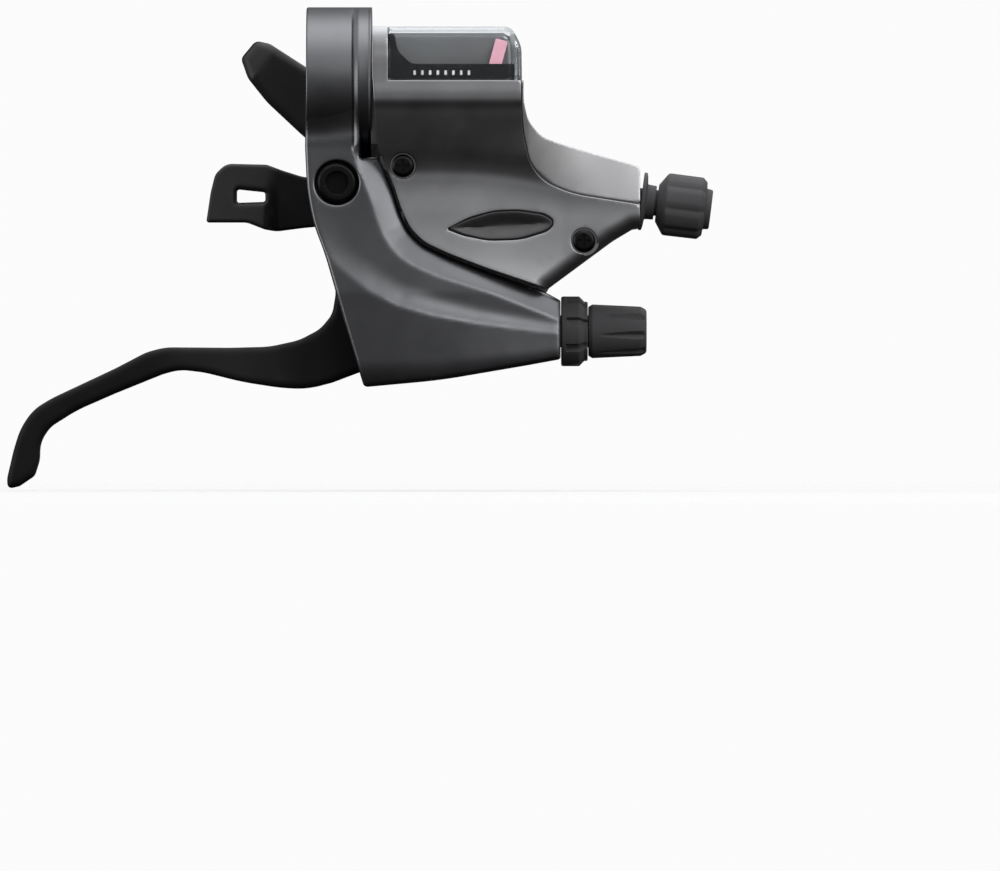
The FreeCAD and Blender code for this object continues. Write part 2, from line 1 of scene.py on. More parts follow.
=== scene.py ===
import json
import math

import bmesh
import bpy
import numpy as np
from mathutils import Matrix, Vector
from mathutils.geometry import delaunay_2d_cdt


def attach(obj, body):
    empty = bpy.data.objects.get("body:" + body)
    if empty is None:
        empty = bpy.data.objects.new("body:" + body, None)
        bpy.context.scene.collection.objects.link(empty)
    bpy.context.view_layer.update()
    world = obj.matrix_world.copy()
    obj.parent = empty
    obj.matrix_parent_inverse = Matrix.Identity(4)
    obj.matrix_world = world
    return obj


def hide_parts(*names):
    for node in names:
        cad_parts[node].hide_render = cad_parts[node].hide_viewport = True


# Right-hand brake and shift lever. Lengths here are millimetres, turned into metres when a
# mesh is made. X runs along the handlebar, Z from the brake lever towards the rider and Y
# away from the camera, with the origin in the middle of the handlebar clamp.

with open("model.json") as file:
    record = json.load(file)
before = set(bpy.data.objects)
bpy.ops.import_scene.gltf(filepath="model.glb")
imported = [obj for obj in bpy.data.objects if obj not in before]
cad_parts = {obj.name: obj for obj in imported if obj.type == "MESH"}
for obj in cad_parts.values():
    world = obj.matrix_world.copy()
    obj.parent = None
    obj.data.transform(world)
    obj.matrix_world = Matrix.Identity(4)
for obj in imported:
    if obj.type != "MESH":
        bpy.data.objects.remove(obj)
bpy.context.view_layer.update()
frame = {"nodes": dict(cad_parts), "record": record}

MM = 0.001
SHARP_ANGLE = math.radians(35.0)
SKIN = 0.02  # keeps two faces that meet from lying in one plane
BAR_R = 11.1
CLAMP_R = 15.4
BOLT = (-0.3, -20.0)
BOLT_HOLE_R = 4.4
PIVOT = (4.7, -30.5)
BRAKE_CABLE_Z = -49.6
BRAKE_CABLE = Vector((44.5, 0.0, BRAKE_CABLE_Z))
AXLE = (23.7, -25.0)
SHIFT_CABLE = Vector((60.5, -2.0, -23.5))
TILT = math.radians(7.0)
SHIFT_AXIS = Vector((math.cos(TILT), 0.0, -math.sin(TILT)))
CASE_FRONT = -12.75
CASE_BACK = 12.6
BASE_SCREWS = [(14.6, -40.5), (34.0, -45.6)]
GEARS = 8


# ---- shapes ----

def rounded(corners, spacing=0.5):
    """Closed loop through (a, b, radius) corners. Each corner is rounded to its radius, or as
    far as its neighbours allow."""
    loop = []
    count = len(corners)
    for i, (a, b, radius) in enumerate(corners):
        corner = np.array([a, b], float)
        back = np.array(corners[i - 1][:2], float) - corner
        ahead = np.array(corners[(i + 1) % count][:2], float) - corner
        room = min(np.linalg.norm(back), np.linalg.norm(ahead)) * 0.499
        back /= np.linalg.norm(back)
        ahead /= np.linalg.norm(ahead)
        turn = math.pi - math.acos(float(np.clip(back @ ahead, -1.0, 1.0)))
        if radius <= 0 or turn < 0.01:
            loop.append(corner)
            continue
        reach = min(radius * math.tan(turn / 2), room)
        radius = reach / math.tan(turn / 2)
        middle = (back + ahead) / np.linalg.norm(back + ahead)
        centre = corner + middle * radius / math.cos(turn / 2)
        start = corner + back * reach - centre
        end = corner + ahead * reach - centre
        steps = max(2, math.ceil(radius * turn / spacing), math.ceil(turn / 0.2))
        for k in range(steps + 1):
            share = k / steps
            arc = start * math.sin((1 - share) * turn) + end * math.sin(share * turn)
            loop.append(centre + arc / math.sin(turn))
    return spaced(np.array(loop), spacing)


def spaced(loop, spacing):
    """The same loop with no repeated point and no stretch longer than spacing."""
    points = []
    for here, there in zip(loop, np.roll(loop, -1, axis=0)):
        length = np.linalg.norm(there - here)
        if length < 1e-3:
            continue
        steps = max(1, math.ceil(length / spacing))
        points += [here + (there - here) * k / steps for k in range(steps)]
    return np.array(points)


def rectangle(left, low, right, high, radius):
    return rounded([(left, low, radius), (right, low, radius), (right, high, radius),
                    (left, high, radius)])


def circle(centre, radius, steps=40):
    angles = np.linspace(0, 2 * math.pi, steps, endpoint=False)
    return np.stack([centre[0] + radius * np.cos(angles),
                     centre[1] + radius * np.sin(angles)], axis=1)


def hexagon(centre, reach):
    return circle(centre, reach, 6)


def distance(points, line, closed=True):
    """Distance of each point from a line of points."""
    start = line if closed else line[:-1]
    end = np.roll(line, -1, axis=0) if closed else line[1:]
    best = np.full(len(points), 1e9)
    for a, b in zip(start, end):
        along = b - a
        share = np.clip((points - a) @ along / (along @ along), 0.0, 1.0)
        gap = points - a - share[:, None] * along
        best = np.minimum(best, np.hypot(gap[:, 0], gap[:, 1]))
    return best


def inside(points, loop):
    """True for each point inside a closed loop."""
    x, z = points[:, 0], points[:, 1]
    result = np.zeros(len(points), bool)
    for (xa, za), (xb, zb) in zip(loop, np.roll(loop, -1, axis=0)):
        if za == zb:
            continue
        crosses = (za > z) != (zb > z)
        result ^= crosses & (x < (xb - xa) * (z - za) / (zb - za) + xa)
    return result


def rounding(gap, radius):
    """How far a surface has dropped at a distance gap inside an edge of that radius."""
    reach = np.clip(radius - gap, 0.0, radius)
    return radius - np.sqrt(np.maximum(radius * radius - reach * reach, 0.0))


def step(low, high, value):
    share = np.clip((value - low) / (high - low), 0.0, 1.0)
    return share * share * (3 - 2 * share)


def curve(knots):
    """Smooth function through (input, output) knots, flat outside them."""
    xs = np.array([k[0] for k in knots], float)
    ys = np.array([k[1] for k in knots], float)
    order = np.argsort(xs)
    xs, ys = xs[order], ys[order]
    slopes = np.gradient(ys, xs)

    def value(x):
        x = np.clip(x, xs[0], xs[-1])
        i = np.clip(np.searchsorted(xs, x) - 1, 0, len(xs) - 2)
        width = xs[i + 1] - xs[i]
        t = (x - xs[i]) / width
        return ((2 * t ** 3 - 3 * t ** 2 + 1) * ys[i]
                + (t ** 3 - 2 * t ** 2 + t) * width * slopes[i]
                + (3 * t ** 2 - 2 * t ** 3) * ys[i + 1] + (t ** 3 - t ** 2) * width * slopes[i + 1])

    return value


def depth_at(surface, x, z):
    return surface(x, z) if callable(surface) else np.full(len(x), float(surface))


# A layout turns an outline's (a, b) and a depth into X, Y and Z.

def facing_camera(a, b, depth):
    return np.stack([a, depth, b], axis=1)


def facing_side(a, b, depth):
    return np.stack([depth, a, b], axis=1)


def finish_mesh(name, points, faces):
    """A piece from points in millimetres."""
    mesh = bpy.data.meshes.new(name)
    mesh.from_pydata([tuple(p) for p in np.asarray(points) * MM], [], faces)
    work = bmesh.new()
    work.from_mesh(mesh)
    bmesh.ops.remove_doubles(work, verts=work.verts, dist=1e-7)
    bmesh.ops.recalc_face_normals(work, faces=work.faces)
    work.to_mesh(mesh)
    work.free()
    return show(name, mesh)


def show(name, mesh):
    mesh.shade_smooth()
    mesh.set_sharp_from_angle(angle=SHARP_ANGLE)
    piece = bpy.data.objects.new(name, mesh)
    bpy.context.scene.collection.objects.link(piece)
    return piece


def slab(name, loop, front, back, front_r=0.5, back_r=0.5, holes=(), hole_r=0.2, grid=0.8,
         layout=facing_camera, folds=()):
    """Plate inside a loop. front and back are its depths, one number or a function of X and Z.
    Its edges are rounded to front_r and back_r. Its surface is a triangle lattice of side grid,
    with rings of points beside each edge. folds are more rows, where it bends sharply."""
    loops = [loop] + list(holes)
    seeds = loops + list(folds)
    for edge, radius in zip(loops, [max(front_r, back_r)] + [hole_r] * len(holes)):
        ahead = np.roll(edge, -1, axis=0) - np.roll(edge, 1, axis=0)
        normal = np.stack([-ahead[:, 1], ahead[:, 0]], axis=1)
        normal /= np.linalg.norm(normal, axis=1)[:, None]
        for angle in range(15, 91, 15):
            depth = radius * (1 - math.cos(math.radians(angle)))
            for side in (-1, 1):
                ring = edge + normal * depth * side
                ring = ring[inside(ring, loop) & (distance(ring, edge) > depth * 0.93)]
                seeds.append(ring)
    low, high = loop.min(axis=0), loop.max(axis=0)
    row_height = 0.866 * grid
    rows = np.arange(low[1], high[1], row_height)
    lattice = [(x + (i % 2) * grid / 2, z) for i, z in enumerate(rows)
               for x in np.arange(low[0], high[0], grid)]
    lattice = np.array(lattice)
    margin = grid * 0.4
    keep = inside(lattice, loop) & (distance(lattice, loop) > max(front_r, back_r) + margin)
    for hole in holes:
        keep &= distance(lattice, hole) > hole_r + margin
    seeds.append(lattice[keep])

    edges, at = [], 0
    for edge in loops:
        edges += [(at + k, at + (k + 1) % len(edge)) for k in range(len(edge))]
        at += len(edge)
    flat_points = [Vector(p) for p in np.concatenate(seeds)]
    found = delaunay_2d_cdt(flat_points, edges, [], 0, 1e-5)
    points = np.array([tuple(p) for p in found[0]])
    triangles = np.array([tuple(f) for f in found[2]])
    middle = points[triangles].mean(axis=1)
    keep = inside(middle, loop)
    for hole in holes:
        keep &= ~inside(middle, hole)
    triangles = triangles[keep]

    x, z = points[:, 0], points[:, 1]
    gap = distance(points, loop)
    ahead = depth_at(front, x, z) + rounding(gap, front_r)
    behind = depth_at(back, x, z) - rounding(gap, back_r)
    for hole in holes:
        ahead = ahead + rounding(distance(points, hole), hole_r)
    count = len(points)
    body = np.concatenate([layout(x, z, ahead), layout(x, z, behind)])
    faces = [tuple(t) for t in triangles] + [tuple(t[::-1] + count) for t in triangles]
    uses = {}
    for t in triangles:
        for a, b in ((t[0], t[1]), (t[1], t[2]), (t[2], t[0])):
            uses[(a, b)] = True
    for a, b in uses:
        if (b, a) not in uses:
            faces.append((b, a, a + count, b + count))
    used = sorted({v for face in faces for v in face})
    number = {v: k for k, v in enumerate(used)}
    faces = [tuple(number[v] for v in face) for face in faces]
    return finish_mesh(name, body[used], faces)


def turned(name, corners, origin, direction=(0, 1, 0), dent=None, steps=96, spacing=0.6):
    """Body of revolution about direction. corners are (distance along, radius, rounding), and
    dent gives the radius lost at (distance along, angle)."""
    loop = rounded(corners, spacing)
    angles = np.linspace(0, 2 * math.pi, steps, endpoint=False)
    axis = Vector(direction).normalized()
    side = Vector((0, 1, 0)) if abs(axis.y) < 0.9 else Vector((1, 0, 0))
    side = (side - axis * side.dot(axis)).normalized()
    other = axis.cross(side)
    along, angle = np.meshgrid(loop[:, 0], angles, indexing="ij")
    radius = np.repeat(np.maximum(loop[:, 1], 0.0)[:, None], steps, axis=1)
    if dent:
        radius = radius - dent(along, angle, radius)
    points = (np.array(origin) + along[..., None] * np.array(axis)
              + radius[..., None] * (np.cos(angle)[..., None] * np.array(side)
                                     + np.sin(angle)[..., None] * np.array(other)))
    rows = len(loop)
    faces = []
    for i in range(rows):
        for k in range(steps):
            a, b = i * steps + k, i * steps + (k + 1) % steps
            c, d = (i + 1) % rows * steps + (k + 1) % steps, (i + 1) % rows * steps + k
            faces.append((a, b, c, d))
    return finish_mesh(name, points.reshape(-1, 3), faces)


def prism(loop, low, high, layout=facing_camera):
    """Plain cutter through a loop, from depth low to depth high."""
    count = len(loop)
    ends = [layout(loop[:, 0], loop[:, 1], np.full(count, y)) for y in (low, high)]
    faces = [tuple(range(count)), tuple(range(2 * count - 1, count - 1, -1))]
    faces += [(k, (k + 1) % count, (k + 1) % count + count, k + count) for k in range(count)]
    return finish_mesh("cutter", np.concatenate(ends), faces)


def cut(piece, *cutters):
    """Takes the cutters away from the piece."""
    for cutter in cutters:
        modifier = piece.modifiers.new("cut", "BOOLEAN")
        modifier.operation = "DIFFERENCE"
        modifier.solver = "EXACT"
        modifier.object = cutter
        graph = bpy.context.evaluated_depsgraph_get()
        mesh = bpy.data.meshes.new_from_object(piece.evaluated_get(graph))
        piece.modifiers.clear()
        piece.data = mesh
        bpy.data.objects.remove(cutter)
    piece.data.set_sharp_from_angle(angle=SHARP_ANGLE)
    return piece


def joined(name, *pieces):
    """One piece made of several closed shells."""
    work = bmesh.new()
    for piece in pieces:
        work.from_mesh(piece.data)
        bpy.data.objects.remove(piece)
    mesh = bpy.data.meshes.new(name)
    work.to_mesh(mesh)
    work.free()
    return show(name, mesh)


# ---- materials ----

class Finish:
    """A procedural material built up node by node on one Principled shader."""

    def __init__(self, name, colour, metallic, roughness):
        self.material = bpy.data.materials.new(name)
        self.material.use_nodes = True
        self.nodes = self.material.node_tree.nodes
        self.links = self.material.node_tree.links
        self.shader = self.nodes["Principled BSDF"]
        self.set("Base Color", (*colour, 1.0))
        self.set("Metallic", metallic)
        self.set("Roughness", roughness)
        self.place = self.add("TexCoord").outputs["Object"]
        self.colour = colour
        self.tint = None
        self.bump = None

    def add(self, kind):
        return self.nodes.new("ShaderNode" + kind)

    def set(self, socket, value):
        self.shader.inputs[socket].default_value = value

    def drive(self, socket, source):
        self.links.new(source, self.shader.inputs[socket])

    def noise(self, scale, detail=4.0, stretch=None):
        node = self.add("TexNoise")
        node.inputs["Scale"].default_value = scale
        node.inputs["Detail"].default_value = detail
        place = self.place
        if stretch:
            mapping = self.add("Mapping")
            mapping.inputs["Scale"].default_value = stretch
            self.links.new(place, mapping.inputs["Vector"])
            place = mapping.outputs["Vector"]
        self.links.new(place, node.inputs["Vector"])
        return node.outputs["Fac"]

    def remap(self, value, low, high, to_low, to_high):
        node = self.add("MapRange")
        for socket, number in zip(node.inputs[1:5], (low, high, to_low, to_high)):
            socket.default_value = number
        self.links.new(value, node.inputs[0])
        return node.outputs[0]

    def blend_colour(self, factor, colour):
        """Mix another colour over what the surface has so far."""
        node = self.add("Mix")
        node.data_type = "RGBA"
        node.inputs["A"].default_value = (*self.colour, 1.0)
        if self.tint:
            self.links.new(self.tint, node.inputs["A"])
        node.inputs["B"].default_value = (*colour, 1.0)
        self.links.new(factor, node.inputs["Factor"])
        self.tint = node.outputs["Result"]
        self.drive("Base Color", self.tint)
        return self

    def vary_roughness(self, scale, low, high, stretch=None):
        self.drive("Roughness", self.remap(self.noise(scale, 2.0, stretch), 0.2, 0.8, low, high))
        return self

    def grain(self, scale, depth, stretch=None):
        """Fine surface relief. depth is in millimetres."""
        node = self.add("Bump")
        node.inputs["Distance"].default_value = depth * MM
        node.inputs["Strength"].default_value = 1.0
        self.links.new(self.noise(scale, 3.0, stretch), node.inputs["Height"])
        if self.bump:
            self.links.new(self.bump, node.inputs["Normal"])
        self.bump = node.outputs["Normal"]
        self.drive("Normal", self.bump)
        return self

    def worn_edges(self, colour, amount):
        """Lighter colour along raised edges, broken up by noise."""
        edge = self.add("NewGeometry").outputs["Pointiness"]
        raised = self.remap(edge, 0.54, 0.62, 0.0, 1.0)
        patches = self.remap(self.noise(420.0, 6.0), 0.42, 0.68, 0.0, amount)
        node = self.add("Math")
        node.operation = "MULTIPLY"
        self.links.new(raised, node.inputs[0])
        self.links.new(patches, node.inputs[1])
        return self.blend_colour(node.outputs[0], colour)

    def flecks(self, colour, amount):
        """Metal flakes in paint."""
        node = self.add("TexVoronoi")
        node.inputs["Scale"].default_value = 5200.0
        self.links.new(self.place, node.inputs["Vector"])
        spots = self.remap(node.outputs["Distance"], 0.25, 0.05, 0.0, amount)
        return self.blend_colour(spots, colour)

    def coat(self, weight, roughness):
        self.set("Coat Weight", weight)
        self.set("Coat Roughness", roughness)
        return self


def paint(name, colour, light, roughness):
    """Metallic paint under a satin clear coat."""
    finish = Finish(name, colour, 1.0, roughness).coat(0.08, 0.25)
    finish.blend_colour(finish.remap(finish.noise(45.0, 1.0), 0.2, 0.8, 0.0, 0.16), light)
    finish.flecks(light, 0.12)
    finish.set("Specular Tint", (0.4, 0.4, 0.4, 1.0))
    finish.vary_roughness(160.0, roughness - 0.04, roughness + 0.07)
    return finish.grain(2600.0, 0.0015).grain(240.0, 0.003).material


def resin(name, colour, roughness, relief=0.015, shine=0.3):
    """Moulded resin, rubber or plain paint with a fine grain."""
    light = [c * 2.0 + 0.008 for c in colour]
    finish = Finish(name, colour, 0.0, roughness)
    finish.set("Specular IOR Level", shine)
    finish.blend_colour(finish.remap(finish.noise(70.0, 4.0), 0.35, 0.7, 0.0, 0.25), light)
    finish.worn_edges([c * 2.0 + 0.03 for c in colour], 0.5)
    finish.vary_roughness(300.0, roughness - 0.06, roughness + 0.1)
    return finish.grain(1900.0, relief).material


def steel(name, colour, roughness, stretch=(1.0, 1.0, 14.0)):
    """Bare or plated metal, with fine lines across the axis that stretch scales up."""
    finish = Finish(name, colour, 1.0, roughness)
    dark = [c * 0.6 for c in colour]
    finish.blend_colour(finish.remap(finish.noise(220.0, 5.0), 0.35, 0.7, 0.0, 0.5), dark)
    finish.vary_roughness(500.0, roughness - 0.08, roughness + 0.1, stretch)
    return finish.grain(900.0, 0.004, stretch).material


def clear_lens(name):
    """Clear resin with a painted glow along its thick top and right sides: there it lets less light
    through and takes a light grey colour, in place of the light that runs through them.
    """
    finish = Finish(name, (0.86, 0.89, 0.90), 0.0, 0.03)
    finish.set("IOR", 1.35)
    finish.vary_roughness(90.0, 0.02, 0.06)
    split = finish.add("SeparateXYZ")
    finish.links.new(finish.place, split.inputs[0])
    # painted glow mask: the top and right sides, where the lens lets less light through
    glow_walls = [finish.remap(split.outputs["Z"], 9.5 * MM, 10.2 * MM, 1.0, 0.90),
             finish.remap(split.outputs["X"], 35.0 * MM, 35.8 * MM, 1.0, 0.90)]
    clear = finish.add("Math")
    clear.operation = "MINIMUM"
    for wall, socket in zip(glow_walls, clear.inputs):
        finish.links.new(wall, socket)
    finish.drive("Transmission Weight", clear.outputs[0])
    # painted glow: a light grey colour on those sides stands in for the light that runs through
    # them
    finish.blend_colour(finish.remap(clear.outputs[0], 1.0, 0.9, 0.0, 1.0), (0.42, 0.44, 0.45))
    finish.set("Specular IOR Level", 0.3)
    return finish.grain(60.0, 0.004).material


MATERIALS = {
    "bracket_paint": paint("bracket_paint", (0.116, 0.118, 0.123), (0.30, 0.30, 0.31), 0.31),
    "cover_paint": paint("cover_paint", (0.320, 0.323, 0.331), (0.50, 0.50, 0.51), 0.30),
    "case_paint": paint("case_paint", (0.47, 0.47, 0.475), (0.62, 0.62, 0.63), 0.31),
    "lever_paint": resin("lever_paint", (0.0085, 0.0085, 0.009), 0.42, 0.004, 0.07),
    "lever_resin": resin("lever_resin", (0.011, 0.011, 0.0115), 0.42, 0.012, 0.28),
    "adjuster_resin": resin("adjuster_resin", (0.066, 0.066, 0.068), 0.5, 0.008, 0.04),
    "dark_rubber": resin("dark_rubber", (0.018, 0.018, 0.019), 0.42, 0.015, 0.8),
    "black_steel": steel("black_steel", (0.02, 0.02, 0.021), 0.36),
    "plain_steel": steel("plain_steel", (0.42, 0.42, 0.43), 0.32),
    "spring_steel": steel("spring_steel", (0.30, 0.30, 0.31), 0.28, (14.0, 1.0, 1.0)),
    "bronze": steel("bronze", (0.48, 0.31, 0.14), 0.4),
    "drum_resin": resin("drum_resin", (0.45, 0.45, 0.43), 0.45),
    "clear_lens": clear_lens("clear_lens"),
    "mask_black": resin("mask_black", (0.003, 0.003, 0.0035), 0.2, 0.002, 0.3),
    "dial_grey": resin("dial_grey", (0.110, 0.110, 0.112), 0.45, 0.006),
    "dial_marks": resin("dial_marks", (0.55, 0.55, 0.55), 0.4, 0.004),
    "needle_red": resin("needle_red", (0.74, 0.37, 0.45), 0.4, 0.004),
}


NODE_SLOTS = {s["node"]: s["material_slot"] for s in frame["record"]["subparts"]}
for node, shape in frame["nodes"].items():
    shape.data.materials.clear()
    shape.data.materials.append(MATERIALS[NODE_SLOTS[node]])


def place(piece, body, slot, *nodes):
    """Give the piece its finish and its CAD body, in place of the CAD nodes."""
    piece.data.materials.clear()
    piece.data.materials.append(MATERIALS[slot])
    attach(piece, body)
    if nodes:
        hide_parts(*nodes)


# ---- bracket ----

# top edge of the lower arm, along the shifter
RIM = np.array([(7.9, -14.8), (9.0, -17.0), (11.0, -21.9), (12.3, -26.0), (13.1, -28.1),
                (14.2, -29.9), (15.5, -31.3), (17.2, -32.5), (21.7, -34.7), (29.1, -37.5),
                (44.4, -43.6)])
# ridge that parts the terrace from the lower face
CREASE = np.array([(-7.5, -12.0), (-6.8, -24.0), (-4.2, -31.0), (-0.8, -36.2), (2.6, -39.0),
                   (6.6, -42.0), (12.0, -44.6), (18.5, -46.4), (27.5, -48.0), (40.3, -49.6),
                   (46.0, -50.2)])
# bottom edge of the lower face
FOOT_EDGE = np.array([(5.1, -60.9), (20.3, -59.4), (37.9, -56.4), (44.5, -55.2)])
BRACKET = [(-6.5, 1.0, 0), (-6.7, -13.0, 20), (-6.3, -21.2, 30), (-5.1, -28.0, 40),
           (-2.7, -34.2, 60), (-0.9, -40.5, 60), (1.3, -48.2, 80), (5.1, -60.8, 0.9),
           (20.3, -59.4, 120), (37.9, -56.4, 200), (44.4, -55.2, 0.5), (44.4, -43.5, 0.5),
           (41.3, -41.8, 20), (29.1, -37.5, 60), (21.7, -34.7, 40), (16.9, -32.4, 8),
           (14.0, -29.6, 8), (12.3, -26.0, 20), (11.0, -21.9, 30), (9.0, -17.0, 20),
           (7.9, -14.9, 0.6), (4.5, -14.9, 0.4), (4.3, -8.0, 20), (4.2, 1.0, 0)]
# depth lost at each X beside the flange of the clamp
FLANGE_STEP = [(2.6, 0.0), (3.0, 0.35), (4.0, -0.25), (5.95, -0.25), (6.35, -0.5)]
# how much further the face stands out at each X
bracket_swell = curve([(-8.0, 0.0), (-2.0, 0.2), (6.0, 1.2), (14.0, 2.0), (25.0, 1.95),
                       (44.0, 1.35), (50.0, 1.2)])


def flange_step(x):
    """Depth lost beside the flange. The flange itself stands a little proud, and its right edge
    a little more."""
    return np.interp(x, *zip(*FLANGE_STEP))


def bracket_front(x, z):
    """A terrace that leans up a little, with a chamfer down to the shifter. Below it the surface
    rises to a crease, and the lower face is nearly flat. The clamp band runs in at the top."""
    points = np.stack([x, z], axis=1)
    to_rim = distance(points, RIM, closed=False)
    to_crease = distance(points, CREASE, closed=False)
    to_foot = distance(points, FOOT_EDGE, closed=False)
    crease_z = np.interp(x, CREASE[:, 0], CREASE[:, 1])
    below = (z < crease_z) & (x > -4.0) & (z < -30.0)
    level = 12.8 + 0.075 * (-13.0 - np.clip(z, -42.0, -13.0)) + bracket_swell(x)
    lip_width = np.interp(x, [12.0, 30.0], [4.9, 3.7])
    chamfer = 2.2 * np.clip(1.0 - to_rim / lip_width, 0.0, 1.0) ** 1.15
    reach = np.interp(x, [4.0, 15.0, 28.0, 42.0], [5.4, 5.0, 3.6, 2.8])
    crest = np.interp(x, [-5.0, 0.0, 9.0, 28.0, 42.0], [0.3, 0.75, 1.4, 0.9, 0.6])
    crest = crest * np.interp(z, [-36.0, -32.0, -26.0], [1.0, 0.7, 0.0])
    rise = crest * np.clip(1.0 - to_crease / reach, 0.0, 1.0) ** 2
    twist = np.interp(x, [4.0, 18.0, 34.0], [-0.035, -0.02, 0.05])
    foot_width = np.interp(x, [4.0, 42.0], [5.5, 2.4])
    foot = 0.2 * foot_width * np.clip(1.0 - to_foot / foot_width, 0.0, 1.0) ** 2
    face = level + crest + twist * to_crease - foot
    depth = np.where(below, face, level - chamfer + rise)
    band = np.sqrt(np.maximum(CLAMP_R ** 2 - z * z, 0.0)) + SKIN
    band = np.where(z > -15.0, band, 0.0)
    blend = 2.4
    mix = np.clip(0.5 + 0.5 * (band - depth) / blend, 0.0, 1.0)
    mixed = depth + (band - depth) * mix + blend * mix * (1 - mix) * 0.5
    rib = flange_step(x) * step(-15.0, -12.0, z)
    return rib - np.where(z > -3.0, band - 0.3 * step(-3.0, -1.0, z), mixed)


def slot_cutter():
    """Room inside the bracket for the brake lever."""
    loop = rounded([(12.0, -30.5, 0), (12.0, -58.6, 1.0), (5.8, -59.6, 0), (5.8, -66.0, 0),
                    (-14.0, -66.0, 0), (-14.0, -36.0, 0), (-1.5, -30.5, 0), (-0.6, -24.8, 6),
                    (9.6, -24.8, 6)])
    return prism(loop, -5.4, 5.4)


def bar_cutter(radius):
    return prism(circle((0.0, 0.0), radius, 96), -30.0, 30.0, facing_side)


def bracket_face():
    """The whole front, from the clamp down to the foot."""
    heights = np.arange(-14.7, 0.9, 0.4)
    folds = [np.stack([np.full(len(heights), x), heights], axis=1) for x, _ in FLANGE_STEP[:3]]
    hole = circle(BOLT, BOLT_HOLE_R, 48)
    face = slab("face", rounded(BRACKET), bracket_front, 0.4, 0.8, 0.05, [hole], 0.5, grid=0.7,
                folds=folds)
    return cut(face, slot_cutter(), bar_cutter(BAR_R))


def bracket_back():
    """Back of the lower arm, with a low rim round it."""
    corners = [corner for corner in BRACKET if corner[1] < -26.0]
    corners += [(12.2, -26.6, 0.8), (-5.2, -26.6, 0.8)]
    loop = rounded(corners)

    def rear(x, z):
        gap = distance(np.stack([x, z], axis=1), loop)
        return 8.0 - 1.2 * step(1.2, 3.2, gap)

    return cut(slab("back", loop, 0.0, rear, 0.05, 0.8, grid=0.7), slot_cutter())


def clamp_band():
    def groove(along, angle, radius):
        # it runs out towards the top and bottom of the band
        front = step(0.1, 0.6, -np.cos(angle))
        return np.where(radius > CLAMP_R - 0.7, flange_step(along) * front, 0.0)

    band = turned("band", [(-6.5, BAR_R, 0.3), (-6.5, CLAMP_R, 0.4), (5.95, CLAMP_R, 0),
                           (6.35, CLAMP_R, 0), (6.65, CLAMP_R, 0.2), (6.65, BAR_R, 0.3)],
                  (0, 0, 0), (1, 0, 0), groove, steps=180, spacing=0.2)
    split = np.array([(0.4, -9.0), (2.0, -9.0), (2.0, -20.0), (0.4, -20.0)])
    return cut(band, prism(split, -20.0, 20.0, facing_side))


def clamp_ear():
    """Lug behind the split, where the clamp bolt screws in."""
    loop = rounded([(2.0, -12.5, 0.2), (7.0, -9.5, 0.1), (12.9, -8.0, 2.0),
                    (11.0, -16.0, 20), (11.0, -25.4, 4.5), (2.0, -25.4, 0.6)])
    ear = slab("ear", loop, -5.6, 6.5, 0.8, 0.8, layout=facing_side)
    return cut(ear, bar_cutter(BAR_R + 0.01))


def shifter_collar():
    """Dark strip between the clamp and the shifter."""
    loop = rectangle(6.5, -12.3, 8.38, 0.58, 0.1)
    return slab("collar", loop, CASE_FRONT + SKIN, -11.4, 0.1, 0.1)


def base_boss(x, z):
    return turned("boss", [(0.0, 1.7, 0), (0.0, 3.8, 0), (1.2, 3.2, 1.0), (5.9, 3.2, 0.4),
                           (5.9, 1.7, 0.2)], (x, 6.6, z), steps=48)


def make_bracket():
    bosses = [base_boss(x, z) for x, z in BASE_SCREWS]
    shell = joined("bracket_shell", bracket_face(), bracket_back(), clamp_band(), clamp_ear(),
                   shifter_collar(), *bosses)
    place(shell, "bracket", "bracket_paint", "bracket")


def make_clamp_bolt():
    head = turned("head", [(0.0, 2.3, 0.15), (0.0, 3.5, 0.5), (0.6, 4.1, 0.35), (4.0, 4.1, 0.2),
                           (4.0, 2.5, 0.1), (24.0, 2.5, 0.4), (24.0, 0.0, 0), (2.6, 0.0, 0),
                           (2.6, 2.3, 0)],
                  (BOLT[0], -13.5, BOLT[1]), steps=72, spacing=0.3)
    cut(head, prism(hexagon(BOLT, 2.45), -15.0, -11.0))
    place(head, "bracket", "black_steel", "clamp_bolt")


# ---- brake lever ----

BLADE = [(-0.7, -42.4, 4), (-1.3, -46.2, 5), (-3.8, -49.2, 7), (-8.0, -51.4, 12),
         (-14.0, -52.7, 20), (-22.0, -52.9, 60), (-34.8, -52.8, 12), (-38.6, -53.8, 12),
         (-44.7, -57.0, 60), (-57.5, -63.0, 30), (-61.3, -65.3, 10), (-63.9, -69.2, 14),
         (-65.2, -73.4, 30), (-66.6, -79.4, 6), (-66.3, -81.2, 0.9), (-64.1, -80.7, 1.5),
         (-61.0, -78.6, 2.0), (-60.0, -75.4, 6), (-59.9, -71.8, 8), (-57.9, -68.8, 6),
         (-52.5, -65.4, 30), (-44.7, -62.0, 60), (-35.3, -58.2, 10), (-31.9, -57.3, 12),
         (-26.9, -57.9, 20), (-19.3, -59.8, 60), (-11.5, -61.0, 40), (-6.3, -61.2, 20),
         (-1.3, -59.9, 12), (3.7, -58.0, 4), (8.6, -56.2, 2), (9.6, -50.0, 8), (9.4, -40.0, 30),
         (9.9, -30.5, 5.2), (4.7, -25.0, 5.2), (-0.7, -30.5, 5.2)]
# half width of the blade at each X
blade_half = curve([(-70.0, 3.4), (-63.0, 4.3), (-56.0, 4.3), (-46.0, 4.8), (-36.0, 5.0),
                    (-20.0, 4.6), (-10.0, 4.8), (0.0, 5.0), (12.0, 5.0)])


def blade_front(x, z):
    """Front of the blade. It leans back where the finger rests."""
    lean = np.interp(x, [-40.0, -31.0, -13.0, -7.0], [0.0, 0.22, 0.22, 0.0])
    middle = -56.0
    return -(blade_half(x) - lean * (z - middle))


